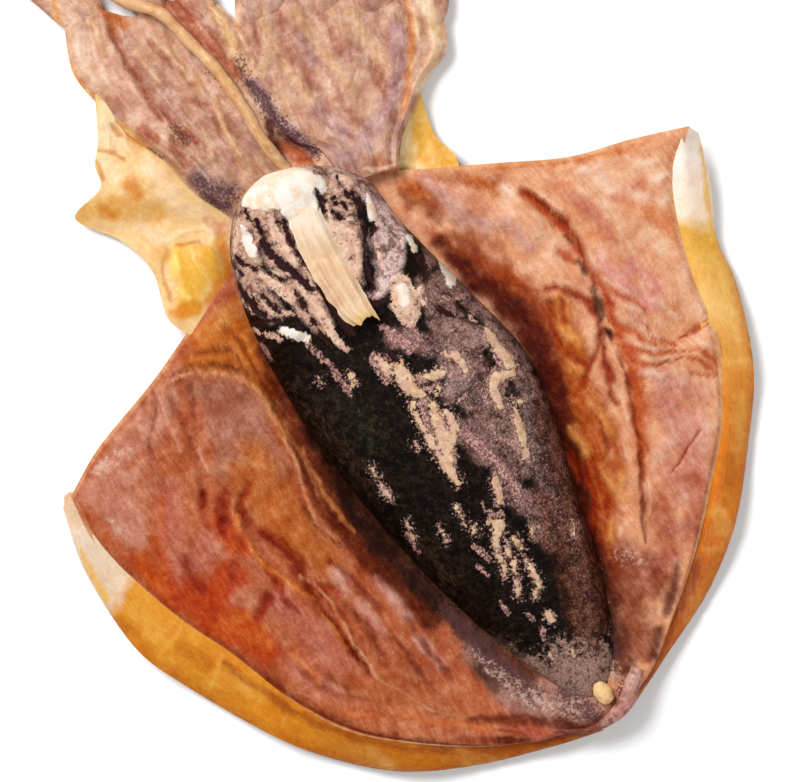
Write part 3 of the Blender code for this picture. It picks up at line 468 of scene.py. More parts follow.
      [(21.2, 32, 0.8), (24.3, 24, 1.8), (28.1, 15.1, 2.8), (30.1, 6.8, 3.2), (28.2, -3.8, 3.4),
       (24.5, -15.6, 3.4), (20.7, -27.4, 3), (16.1, -38.6, 2.6), (11.9, -47.8, 2)]]),
    ((94, 26, 2), 0.97, 2.2, 0, [  # dark trough, its red-brown skin deepened with painted shade
      [(21.1, 30.4, 0.6), (21.9, 26, 1.2), (23.2, 20.5, 1.8), (25.9, 13.4, 2.2), (27, 5.7, 2.4),
       (26, -2.4, 2.6), (24, -10.6, 2.6), (21.5, -18.5, 2.2), (18.3, -28.2, 2), (15.3, -36.9, 1.8),
       (12.8, -44.8, 1.6)]]),
    ((86, 48, 38), 0.85, 2.4, 0, [  # brown tail skin
      [(13.2, -41.5, 1.6), (10.3, -49.2, 2.4), (5.9, -55.9, 2)]]),
    ((186, 96, 36), 0.9, 1.8, 0.2, [  # tan strip
      [(34.7, 6.8, 1.4), (33.1, -0.9, 2), (30.7, -7.7, 2), (28.1, -15.5, 2.2), (25.6, -23.3, 2),
       (22.4, -30.7, 1.6), (19, -36.9, 1.2)], [(31.5, -11.7, 1.4), (29.7, -21.2, 1.2), (26.9, -28.8, 1)]]),
    ((228, 158, 92), 0.85, 1.2, 0.3, [  # cream folds of the strip, painted highlights on their crests
      [(35.6, 8.6, 0.8), (35.3, 4.6, 0.8)], [(32.9, 2.7, 1), (34.2, -0.9, 1)], [(29.7, -12.7, 0.6),
       (29.9, -17.5, 0.8), (30.5, -19.8, 0.6)], [(24.3, -15.5, 0.6), (24, -20.5, 0.6)],
      [(24.5, -25, 0.4), (24.8, -29.9, 0.5)], [(21.3, -34.8, 0.4), (19.1, -37.6, 0.4)],
      [(30.8, -3.5, 0.8), (31.7, -6.4, 0.8)], [(27.7, -28.2, 0.5), (25.4, -32.6, 0.4)]]),
    ((158, 50, 6), 0.9, 0.8, -0.4, [  # red net of the strip
      [(34.1, 11.4, 0.4), (37.3, 9, 0.6), (39.8, 5.5, 0.7), (40.5, 1.6, 0.6)], [(40.1, 0.2, 0.5),
       (37.3, -3.5, 0.4), (33.3, -6.9, 0.4), (29.5, -9.3, 0.3), (27.8, -10.1, 0.2)],
      [(28.8, -11.7, 0.3), (29.4, -16.3, 0.3), (28.3, -22.7, 0.3)], [(37.5, -4.8, 0.6), (35.7, -10.7, 0.8),
       (34.6, -15.2, 0.6)], [(30.6, 0.1, 0.2), (31.6, -3.6, 0.2), (33.8, -6.1, 0.2)],
      [(24.5, -22.7, 0.3), (23.1, -28.8, 0.5), (21.5, -33, 0.5)], [(33.9, 9.2, 0.3), (31.9, 5.2, 0.3),
       (31.1, 0.1, 0.3)], [(22, -23.4, 0.4), (20.7, -29.7, 0.6), (16.6, -34.7, 0.6)],
      [(21, -19.3, 0.4), (20.1, -24.6, 0.5)], [(35.6, 8.1, 0.2), (34.3, 3.7, 0.2)]]),
    ((184, 70, 14), 0.9, 1.2, -0.3, [  # orange crease
      [(40.2, 30.1, 0.6), (41.9, 26, 1), (43.5, 20.9, 1), (43.9, 15.9, 0.8), (43.8, 12, 0.6),
       (44, 7.6, 0.6), (43.6, 3.2, 0.6), (42.3, -1.9, 0.6)], [(40.6, 16.3, 0.4), (42.1, 13, 0.6)]]),
    ((194, 84, 28), 0.88, 1.6, -0.2, [  # orange band beside the crease
      [(42.3, -3.1, 0.8), (40.8, -9.2, 1), (39.3, -14.8, 1.2), (36.2, -20.5, 1.2), (33.3, -25.7, 0.8),
       (31.6, -30.6, 0.6)], [(42.2, -7.7, 0.6), (40.9, -12.1, 0.6)]]),
    ((128, 44, 14), 0.75, 0.6, -0.5, [  # line of the crease
      [(40.7, 30.8, 0.1), (43.2, 25, 0.2), (44.5, 19.5, 0.2), (44.4, 14.9, 0.2), (43.8, 10.1, 0.2),
       (42.9, 5.9, 0.2)], [(40.2, -1.8, 0.2), (39.6, -6.6, 0.2), (38.4, -12.4, 0.2), (36.1, -18.5, 0.2),
       (33.6, -24.8, 0.2), (30.4, -31, 0.2), (27.3, -36.1, 0.2), (24.6, -42.7, 0.1)],
      [(39.4, -1.3, 0.2), (37.6, -4.9, 0.2)]]),
    ((58, 32, 24), 0.75, 0.5, -0.3, [  # black spots of the crease
      [(42.6, 13, 0.4), (42.9, 10.2, 0.5)], [(42.3, 6.1, 0.6), (41.5, 3.3, 0.9), (40.8, 0.6, 0.7)],
      [(40.1, -1.7, 0.3), (40.5, -3.6, 0.4)], [(42.8, 18.7, 0.2), (43.3, 16.8, 0.3)]]),
    ((244, 196, 160), 0.6, 0.6, 0.4, [  # painted highlights on the pale side of the crease
      [(35.8, -12, 0.1), (35.1, -16.3, 0.2), (33.6, -21.7, 0.2)], [(33.4, -28.1, 0.1), (30.6, -33.5, 0.2),
       (27.8, -37.6, 0.1)], [(45.6, 13.7, 0.1), (45.5, 8.1, 0.2)], [(42.4, 30.7, 0.1), (44.9, 23.3, 0.2)]]),
    ((190, 84, 34), 0.85, 0.5, -0.4, [  # fine dark wrinkles
      [(42.9, 2.4, 0.2), (45.6, -2.3, 0.2), (47.8, -6.3, 0.2)], [(41.4, -0.7, 0.2), (44.1, -4.7, 0.3),
       (47, -9.5, 0.2)], [(40.7, -5.6, 0.2), (44.6, -9.7, 0.2), (48.7, -12.5, 0.2), (54.2, -14.9, 0.2)],
      [(41, -9.8, 0.2), (44.8, -13.1, 0.2), (51.6, -15.4, 0.2), (54.4, -20.4, 0.2)],
      [(43.9, 6.3, 0.2), (46.8, 1.6, 0.2), (49, -2.5, 0.2)], [(50, -18, 0.2), (54.9, -21.5, 0.2)],
      [(51.8, -11.3, 0.2), (56.7, -11, 0.3), (60, -11.4, 0.2)], [(54.2, -15.8, 0.3), (55.5, -19.7, 0.4)],
      [(40.7, -3.3, 0.2), (43.6, -7, 0.2)], [(47.2, -7.3, 0.2), (50.4, -11.6, 0.2)],
      [(45.7, -28.7, 0.1), (36.8, -32.6, 0.1)]]),
    ((248, 208, 186), 0.55, 0.5, 0.25, [  # fine pale wrinkles, painted highlights
      [(44.2, -0, 0.2), (47.4, -5.1, 0.2)], [(42.5, -5.3, 0.2), (46.4, -10.5, 0.2)],
      [(43.1, -10.2, 0.2), (48.3, -13.9, 0.2)], [(44.4, 2.7, 0.2), (47.9, -2.3, 0.2)],
      [(41.6, -12.5, 0.4), (44.7, -15.9, 0.4)], [(51.2, -1.6, 0.3), (54.1, -7.6, 0.3)],
      [(45.2, -3, 0.1), (48.6, -8.9, 0.2)], [(45.3, 6.8, 0.1), (48.6, 1.7, 0.1)],
      [(54, -11.5, 0.3), (55.5, -14.8, 0.4)]]),
    ((216, 172, 160), 0.7, 1.4, 0.25, [  # lilac membrane of the neck
      [(25.3, 43.2, 0.8), (26.8, 38, 1.2), (27.7, 32.7, 1.4), (30.5, 28.1, 1.2)],
      [(34.4, 27.2, 1), (36.1, 20.5, 1)]]),
    ((134, 62, 36), 0.65, 1, -0.2, [  # brown flecks of the neck
      [(22.9, 39.4, 0.6), (23.4, 34, 0.8)], [(24.4, 30, 0.6), (26.5, 25.5, 0.8)],
      [(19.6, 43.9, 0.4), (19.9, 39.9, 0.6)]]),
    ((206, 118, 58), 0.8, 0.8, 0.2, [  # orange upper edge
      [(32.3, 40.9, 0.3), (42.8, 35.1, 0.4), (53.8, 30, 0.4), (58.7, 28.4, 0.4), (65.2, 25.6, 0.3)],
      [(74.5, 21.7, 0.3), (70.9, 21.6, 0.3)]])]

# Soft colours of the ink-coated mound
MOUND_PAINT = [
    ((50, 34, 24), 0.7, 2.4, 0, [  # brown tint of the black side
      [(-17.6, 21, 1.6), (-17.2, 10.2, 2), (-15.7, -2.5, 1.8)], [(-13.5, -18, 1.6), (-12.6, -28, 1.6)]]),
    ((38, 34, 22), 0.7, 2.4, 0, [  # green tint of the black side
      [(-11.5, 13.7, 2), (-11.1, 4.1, 1.8)]]),
    ((46, 24, 10), 0.8, 1.2, 0, [  # brown left border
      [(-19.5, 33.9, 0.6), (-20.7, 19.8, 0.6), (-20.8, 4.4, 0.6), (-20.3, -10, 0.7), (-19.2, -23.4, 1),
       (-15.9, -33.4, 1)]]),
    ((142, 106, 96), 0.92, 1.4, 0.1, [  # warm grey film
      [(17.3, 24.1, 1.6), (21.1, 17.1, 1.8), (22.9, 8.5, 1.8), (22.3, 1.1, 1.6)], [(14.2, 24.9, 1.6),
       (13.9, 16.8, 3), (12.6, 8.2, 3.8), (11.5, -0.5, 3.4), (12.6, -8.2, 2.8), (12.3, -16.3, 2.2)],
      [(16.8, 44.4, 1.6), (13.8, 36.8, 1.8), (8.9, 30.4, 1.4)], [(20.6, 31.5, 1.4), (17.4, 28.2, 1)],
      [(9.4, -22.8, 1.8), (8, -28.9, 1.6)]]),
    ((122, 90, 84), 0.85, 1.2, 0.1, [  # grey film by the right side
      [(19.7, -5.1, 1), (17.3, -11.2, 1.2), (14.6, -18.9, 1.4), (12.2, -26.3, 1.6), (10.4, -32.7, 1.4)]]),
    ((66, 50, 46), 0.7, 1, -0.2, [  # dark hollows of the film
      [(6.7, 7.1, 1), (8.9, 3, 1.4), (11.3, 0.1, 1)], [(17.1, -1.2, 0.6), (17.3, -3.6, 0.6)]]),
    ((122, 72, 56), 0.92, 1.6, 0.1, [  # brown film of the right side
      [(22.4, -3.7, 1), (20.9, -11, 1.8), (18, -21, 2.2), (14.5, -30.6, 2.6), (11.7, -38.2, 2.6),
       (7.8, -47.6, 2.6)], [(11.2, -23.8, 1.6), (9, -31.9, 1.6)]]),
    ((250, 216, 206), 0.96, 1, 0.1, [  # lilac film of the head, painted extra pale as painted light on the knob's shaded right flank
      [(9.4, 54.8, 1.2), (12.9, 51.3, 2), (15.8, 46.2, 2.8), (14.8, 39.3, 3), (12.2, 34.3, 2.4),
       (8.4, 29.6, 2)], [(3.6, 27.9, 0.6), (8.9, 28.8, 1)]]),
    ((178, 140, 130), 0.85, 1.4, 0.1, [  # light film
      [(14.6, 14, 1.4), (17.8, 9.7, 1.4)], [(22, 16.5, 1), (22.7, 10.2, 1.2)], [(10.3, 6.1, 1.2),
       (6.9, 3.5, 1)], [(20.9, -0.4, 0.8), (20.5, -4.9, 0.8)], [(18.3, 36.4, 0.8), (19.1, 32.9, 0.8)]]),
    ((158, 114, 108), 0.8, 1.4, 0.1, [  # rosy film
      [(6, -4.7, 2), (7, -10, 2.4)], [(8.7, 14.1, 1.4), (3.8, 18.3, 1.8)], [(14.7, 18.2, 1.2),
       (14.9, 17.3, 1.1)], [(7.5, -14.5, 1.6), (7.2, -22.6, 1)]]),
    ((78, 34, 18), 0.85, 1.4, 0, [  # brown right border
      [(23.5, 11.4, 0.8), (24.9, 4.1, 0.8), (23.9, -6.3, 0.8), (22, -14.6, 1), (19.3, -24.6, 1.2),
       (16.7, -33.1, 1.4), (13.5, -41.7, 1.6), (9.3, -50.9, 1.6)]]),
    ((98, 54, 34), 0.85, 2.2, 0, [  # plum brown tail
      [(10.9, -31.9, 1.4), (7.7, -41.6, 1.8), (4.6, -52.7, 2.2)], [(4.5, -57.3, 1.2), (4.7, -58.2, 1.1)]]),
    ((152, 114, 100), 0.85, 2.6, 0.2, [  # grey tail
      [(-13.3, -42.8, 1.2), (-10.7, -51.7, 2.8), (-5.4, -58.2, 3.2), (-0.9, -62.4, 2.4)],
      [(-3.3, -54.8, 1.6), (1.6, -58.3, 1.6)]]),
    ((66, 38, 34), 0.9, 0.7, -0.2, [  # dark socket of the bead
      [(3.9, -63, 0.6), (2.7, -65.6, 0.6), (0.4, -65.6, 0.6)]]),
    ((170, 120, 92), 0.8, 1.4, 0.2, [  # tan rim of the tail
      [(-16.7, -53.6, 0.8), (-10.7, -61.1, 1), (-5.4, -65.8, 1), (-2.3, -65.4, 0.8)]]),
    ((224, 180, 154), 0.94, 1.2, 0, [  # flesh of the head third
      [(-6.3, 59.8, 1.4), (-2.3, 60.2, 1.6), (1.9, 59.5, 1.6), (6.1, 57.8, 1.6), (10.1, 55.1, 1.4)],
      [(-2, 50.1, 2), (-2.9, 44.8, 1.6)], [(-5.7, 54.8, 2.4), (-8.3, 50.5, 2.4)],
      [(8, 51, 2.4), (9, 46.9, 2.4)], [(-8.4, 56.4, 2), (-12.6, 49.6, 2.2), (-14.8, 41.6, 2),
       (-14.5, 35.5, 1.4)], [(-6.8, 46.1, 2.8), (-7.6, 37.1, 2.6), (-7.6, 28.9, 1.8)],
      [(5, 42.3, 4), (2.7, 35.5, 3), (-1, 30.7, 1.2)], [(12.2, 50.3, 2), (15.1, 46.6, 1.6)]]),
    ((192, 154, 148), 0.7, 1.4, 0, [  # lilac flesh
      [(10.1, 52.5, 1), (13.3, 50.1, 1.4), (15.6, 45.1, 1.4)], [(-16.6, 47.4, 1), (-17.8, 43.5, 1)],
      [(10.6, 37.7, 1), (9.3, 33.3, 0.8)]])]

# Colours of the opened head and its arms
HEAD_PAINT = [
    ((234, 200, 174), 0.8, 1.6, 0.2, [  # pale outer arm
      [(-17.3, 109, 1.2), (-19, 101.7, 1.8), (-19.4, 95, 1.8)], [(-18, 111.7, 0.8), (-20.1, 106, 0.6)]]),
    ((226, 168, 106), 0.85, 0.6, 0.1, [  # golden outer edge
      [(-19.3, 112.6, 0.5), (-21.1, 106.6, 0.5), (-23.1, 100.3, 0.5), (-23.1, 95.1, 0.5),
       (-22.2, 90.8, 0.5)], [(-20.9, 84.9, 0.5), (-18.4, 76.7, 0.5)]]),
    ((196, 112, 52), 0.85, 0.9, -0.3, [  # orange notch, its membrane between the arms darkened with painted shade
      [(-11.1, 106.1, 0.6), (-11, 103.2, 0.8), (-9.6, 100.9, 0.7)], [(-11.4, 102.5, 0.4),
       (-12.5, 97.8, 0.4), (-12.4, 91.8, 0.3)]]),
    ((218, 172, 150), 0.7, 1.6, 0, [  # rosy outer band
      [(-16.1, 96.5, 1.4), (-16.4, 88.4, 1.6), (-15.8, 81, 1.4)]]),
    ((164, 92, 66), 0.75, 0.8, -0.3, [  # brown grooves of the left half, painted shadow lines along them
      [(-12.4, 101.7, 0.3), (-13, 95.5, 0.5), (-13.1, 87.6, 0.5), (-13.4, 81.1, 0.5)],
      [(-11.9, 83.5, 0.6), (-11.3, 78.4, 1), (-10.2, 72.6, 0.8)], [(-7.1, 95.1, 0.3), (-5.4, 89.4, 0.4),
       (-3.8, 83.2, 0.4)], [(-5.3, 80.4, 0.8), (-3.5, 76.5, 0.6)], [(-4, 75.3, 0.3), (-4.5, 68.1, 0.4),
       (-4.6, 62.6, 0.3)], [(-13.8, 76.7, 0.3), (-14, 70.5, 0.4)]]),
    ((196, 150, 132), 0.7, 1.4, 0.1, [  # lilac tan bands
      [(-10.7, 98.3, 1.2), (-10.4, 89.7, 1.6), (-9, 81.3, 1.6), (-8.9, 71.3, 1.8), (-9.6, 65.2, 1.6)],
      [(-6.8, 76.6, 1), (-6, 69.5, 1)]]),
    ((222, 180, 140), 0.7, 0.7, 0.25, [  # cream streaks of the left half
      [(-2.1, 78.9, 0.5), (-3.2, 72.5, 0.6), (-4.1, 66.5, 0.6), (-4.5, 62, 0.4)],
      [(-5.6, 93.7, 0.5), (-4.2, 86.8, 0.5), (-3.1, 80.9, 0.4)], [(-7, 74.4, 0.4), (-8.4, 68.6, 0.4)],
      [(-10.5, 94.9, 0.4), (-9.8, 86.9, 0.4)], [(-15, 105.2, 0.4), (-16, 98.2, 0.5)],
      [(-9.8, 77, 0.3), (-11, 69.8, 0.3)]]),
    ((170, 84, 50), 0.7, 0.8, 0, [  # rusty flecks
      [(-18, 81.2, 0.6), (-16.6, 77.5, 0.6)], [(-19.3, 76.8, 0.4), (-18.2, 74.7, 0.4)],
      [(-10.4, 76, 0.6), (-9.6, 73.6, 0.6)], [(5.7, 83, 0.6), (4.7, 79.9, 0.4)]]),
    ((176, 100, 68), 0.85, 1.2, 0, [  # red brown middle arm
      [(0.2, 100, 1.2), (1.5, 94.5, 1.6), (3.1, 87.9, 1.4), (4.1, 81.2, 0.8)]]),
    ((214, 150, 128), 0.7, 0.7, 0.2, [  # rosy flecks of the middle arm
      [(-0.7, 99.7, 0.3), (0, 94.5, 0.4)], [(3.1, 94, 0.4), (3.4, 90, 0.4)], [(3.3, 89.1, 0.3),
       (3.7, 85.2, 0.3)], [(3, 97.8, 0.4), (4.4, 94.6, 0.4)]]),
    ((230, 190, 140), 0.85, 0.7, 0.3, [  # cream rim of the middle arm
      [(7.5, 95.1, 0.6), (7.3, 89.5, 0.8), (6.7, 84.7, 0.7), (5.9, 81.5, 0.4)]]),
    ((118, 90, 96), 0.75, 1.8, 0, [  # plum neck of the left half
      [(-13, 67.3, 1.2), (-11.7, 63.2, 1.6), (-9.2, 61.2, 1.2)], [(-14.2, 62.3, 1), (-10.8, 59.3, 0.8)]]),
    ((200, 152, 150), 0.7, 1, 0, [  # lilac neck
      [(-16.9, 61.7, 0.8), (-14.8, 59, 0.8), (-12.4, 57.5, 0.8)], [(-16.5, 66.1, 0.6),
       (-16.2, 63.6, 0.6)]]),
    ((216, 174, 136), 0.75, 1.1, 0.25, [  # tan stripes of the right half
      [(15.6, 89.1, 0.6), (13, 82, 0.8), (8.6, 77.9, 0.8)], [(21, 84.3, 0.8), (21.6, 74.6, 0.8),
       (22.7, 65, 0.8)], [(30.3, 79.5, 0.6), (30.6, 70.9, 0.8), (30.1, 63.2, 0.8)],
      [(13.6, 77.2, 0.8), (13.9, 69, 0.8), (15.7, 60.4, 0.8)], [(26.9, 81.6, 0.4), (27.4, 76.7, 0.5)],
      [(9.7, 73.5, 0.6), (9.6, 68.8, 0.6)]]),
    ((178, 118, 96), 0.7, 1.1, -0.25, [  # brown stripes of the right half
      [(16.2, 80.3, 1.2), (16.1, 75.6, 1), (16.5, 69.3, 0.6)], [(24.7, 82.6, 0.6), (24.6, 75.6, 0.6),
       (25, 68.7, 0.6)], [(28.2, 67.7, 0.6), (27.4, 61.1, 0.6)], [(19.2, 65.3, 0.6), (20, 59.1, 0.6)],
      [(13.1, 87.8, 0.4), (10.5, 82.4, 0.4)], [(18.1, 87.1, 0.6), (17.2, 83.4, 0.6)]]),
    ((190, 148, 146), 0.75, 1.4, 0, [  # lilac stripes of the right half
      [(36.7, 72.3, 0.8), (32.8, 64.9, 1), (26.7, 59.2, 1.4), (18.6, 55.3, 1.6)],
      [(14.2, 65.5, 1.4), (16.3, 59.1, 1.6)], [(19.1, 80.4, 0.4), (18.6, 75, 0.5)],
      [(12.2, 57.8, 1), (15.1, 54.1, 1.2)]]),
    ((224, 152, 92), 0.8, 0.7, -0.1, [  # orange right edge
      [(41.2, 75.1, 0.5), (37.7, 67.9, 0.5), (32, 60.2, 0.5), (29, 56.8, 0.5)]]),
    ((242, 208, 168), 0.9, 0.9, 0.3, [  # pale right edge
      [(44, 72.5, 1), (42.1, 65.2, 1.2), (37.1, 60.8, 0.8), (33.1, 58.5, 0.6)], [(41.2, 72.8, 0.4),
       (39.1, 67.1, 0.4)]]),
    ((234, 192, 160), 0.8, 0.6, 0.2, [  # pale left edge
      [(12.2, 92.1, 0.4), (9.4, 89.1, 0.5), (8.8, 83.4, 0.4)], [(8.4, 81.3, 0.3), (7.4, 78.2, 0.3)]]),
    ((190, 128, 98), 0.9, 1.2, 0, [  # skin beside the mound
      [(20, 50.6, 1.4), (19.8, 48, 1.8), (18.9, 44.7, 1.8), (17.7, 43.1, 1.4)]]),
    ((112, 84, 94), 0.8, 1, 0.1, [  # plum crust
      [(5.7, 77.8, 0.6), (6.1, 73.8, 1), (6, 69.1, 1), (7.4, 64.5, 1), (9.3, 59.2, 0.8)]]),
    ((196, 160, 166), 0.7, 0.7, 0.2, [  # lilac crust
      [(6.5, 78.3, 0.3), (7.1, 75.5, 0.4)], [(6.6, 67.8, 0.4), (8.5, 64.8, 0.4)],
      [(8.1, 62.7, 0.3), (10, 59.6, 0.4)]]),
    ((190, 104, 62), 0.9, 1, 0, [  # glowing throat
      [(5, 63.7, 1), (6.3, 60.5, 1.6), (7.4, 58.4, 1)]]),
    ((92, 36, 24), 0.9, 0.8, 0, [  # dark throat
      [(4.4, 68.8, 0.5), (3.5, 65.1, 0.8), (3.2, 61.5, 0.7)], [(5.4, 65.8, 0.6), (6.9, 63, 0.5)]]),
    ((226, 150, 80), 0.8, 0.8, 0, [  # light throat
      [(3.6, 59.8, 0.4), (6.4, 57.6, 0.6)]]),
    ((206, 138, 104), 0.96, 0.5, 0, [  # neck skin over the head
      [(14.8, 48.2, 1), (16.8, 47, 1.6), (19.1, 47, 1.8), (20.9, 46.8, 1.2)], [(16.1, 43.6, 1.6),
       (18.5, 44.5, 1.4)]]),
    ((232, 198, 172), 0.85, 0.4, 0.3, [  # pale lip over the head
      [(16.1, 50.5, 0.3), (18.6, 49.2, 0.4), (23, 47.9, 0.4)]])]

# Colours of the skin beside the neck
COLLAR_PAINT = [
    ((248, 226, 186), 0.8, 1.8, 0.2, [  # cream skin
      [(-21.6, 87.6, 1.4), (-25, 83.6, 1.6), (-23.4, 81.7, 1.2)], [(-27.5, 81.9, 0.8), (-27.2, 77, 1.2)]]),
    ((230, 178, 98), 0.75, 1.8, 0, [  # golden skin
      [(-36.2, 73.1, 1.2), (-29.4, 70.4, 1.8), (-25.2, 65.8, 1.8)], [(-27.4, 62.3, 1.4),
       (-26.9, 57.3, 1)]]),
    ((246, 212, 174), 0.75, 1.6, 0.3, [  # pale fold
      [(-20.3, 73.7, 1.8), (-19.2, 67.8, 1.6)], [(-20, 64.7, 1), (-16.9, 60.2, 1)],
      [(-28, 65, 1), (-26.2, 60.4, 1)]]),
    ((216, 140, 44), 0.8, 1.4, -0.2, [  # orange spots
      [(-25.6, 72.7, 1.2), (-25.4, 70.7, 1)], [(-20.8, 82, 0.6), (-18.1, 78.9, 0.8), (-16.9, 75.3, 0.6)],
      [(-32.9, 71.6, 0.6), (-31.6, 69.8, 0.6)]]),
    ((238, 184, 64), 0.9, 1.6, 0.9, [  # golden dome
      [(-23.8, 55.1, 2.2), (-24.6, 50, 2.6), (-28.9, 46.1, 1.6)], [(-19.6, 52.8, 1.6),
       (-21.2, 47.9, 1.2)]]),
    ((222, 148, 36), 0.85, 1.4, -0.2, [  # orange foot of the dome
      [(-31, 46.4, 1), (-27.5, 45.2, 1.4)], [(-15.6, 53.9, 1), (-17.9, 48.7, 1), (-22.9, 45.2, 0.8)]]),
    ((252, 228, 140), 0.8, 0.8, 0.2, [  # gleams of the dome
      [(-25.7, 55.8, 0.7), (-27.2, 52.6, 0.7)], [(-21.9, 55.9, 0.4), (-22.4, 52.8, 0.4)],
      [(-27.9, 49.2, 0.5), (-27.2, 47.3, 0.4)]]),
    ((252, 230, 190), 0.4, 0.6, 0.3, [  # pale ridges
      [(-25, 59.2, 0.3), (-19.9, 59.1, 0.3), (-16.2, 56.1, 0.3)], [(-29.8, 81.9, 0.2), (-26, 80.5, 0.3),
       (-23.8, 78.7, 0.2)], [(-22.9, 87, 0.2), (-25.6, 81.1, 0.2)], [(-21, 84, 0.2), (-22.5, 79.3, 0.2)]]),
    ((210, 140, 56), 0.7, 0.5, -0.25, [  # golden folds
      [(-28.3, 82.8, 0.2), (-25.1, 80.4, 0.2), (-23.9, 77.8, 0.2)], [(-28.5, 81, 0.2), (-29.4, 76.5, 0.2)],
      [(-22.2, 85.1, 0.3), (-22.4, 82.5, 0.3)], [(-26.2, 58, 0.2), (-29.2, 54, 0.2), (-30.8, 49.1, 0.2)],
      [(-23.8, 57.5, 0.2), (-19.4, 56.2, 0.2)]]),
    ((226, 160, 128), 0.75, 1.2, 0, [  # rosy border
      [(-15.1, 57.8, 0.8), (-13.4, 55.3, 0.8)], [(-16.1, 72.9, 0.4), (-14.8, 67.4, 0.4)],
      [(-16.6, 58.7, 0.6), (-15.1, 56.3, 0.6)]]),
    ((214, 130, 52), 0.8, 1.2, 0, [  # orange border of the neck
      [(-15.7, 51.5, 0.6), (-18.8, 46.4, 0.6), (-24.1, 44, 0.6)]]),
    ((248, 220, 166), 0.8, 1.2, 0.3, [  # pale skin of the right side
      [(26.1, 52.1, 0.8), (26.7, 49.3, 1)], [(22.4, 49.2, 0.4), (25.8, 45.6, 0.5)]]),
    ((232, 176, 66), 0.85, 1.4, 0, [  # amber of the right side
      [(31.9, 50.8, 0.8), (31.1, 46.6, 1.2), (31.6, 43.5, 0.8)], [(29.5, 52.3, 0.8), (27.6, 46.9, 0.8)]]),
    ((252, 230, 178), 0.8, 0.8, 0.1, [  # the collar's cream beside the head, painted extra pale against the head's shadow on it
      [(27.9, 55.1, 0.8), (26, 51.6, 1), (23.4, 48.5, 0.8), (21.5, 47.8, 0.6)]])]

# Creases and panels of the fins
FIN_PAINT = [
    ((246, 196, 110), 0.35, 0.7, 0.2, [  # light creases
      [(-63.5, -8, 0.2), (-65.8, -9.2, 0.3), (-68, -9.7, 0.2)], [(-59, -17.1, 0.2), (-61.7, -19.2, 0.3),
       (-64.4, -20.9, 0.2)], [(55.4, -19.2, 0.3), (61.6, -22.1, 0.3)], [(33.3, -48.8, 0.3),
       (36.9, -51.4, 0.3)], [(49.8, -35.5, 0.2), (51.9, -36.3, 0.2)], [(-54, -33.4, 0.2),
       (-56, -35, 0.2)]]),
    ((204, 124, 30), 0.7, 1.4, 0, [  # dark panels
      [(-64.9, -12.1, 1.4), (-63.1, -16.5, 1.2)], [(-73.1, -0.4, 0.8), (-71, -8.3, 0.8)],
      [(47.7, -37, 1.2), (43.1, -43.6, 1.2)], [(36.2, -52.5, 1), (32, -55.5, 1.2)]]),
    ((236, 178, 84), 0.65, 1.6, 0, [  # light panels
      [(-69.3, 0, 1.2), (-67.4, -6.3, 1.2)], [(-59.7, -22.4, 1), (-57.3, -28.1, 1)],
      [(55.7, -27.8, 0.8), (51.8, -34.8, 0.8)], [(39.5, -44.9, 0.8), (38.6, -47.8, 0.8)]]),
    ((160, 76, 22), 0.7, 1, -0.1, [  # brown inner edge
      [(-59.7, -18.6, 0.4), (-56.1, -26.9, 0.5), (-52.2, -35, 0.6), (-45.8, -43.7, 0.6), (-38.5, -51, 0.6),
       (-30.4, -56.9, 0.6)], [(21, -58.1, 0.5), (27.2, -54.9, 0.5), (32.1, -50.8, 0.4)]]),
    ((246, 200, 104), 0.85, 0.5, 0, [  # golden rim of the cream end
      [(75.9, 19.4, 0.3), (73, 13.2, 0.4), (70.2, 7.4, 0.5), (68.3, 2.5, 0.5)], [(-72.2, 16.4, 0.3),
       (-72.9, 10.7, 0.5), (-73.2, 4.8, 0.6)]])]

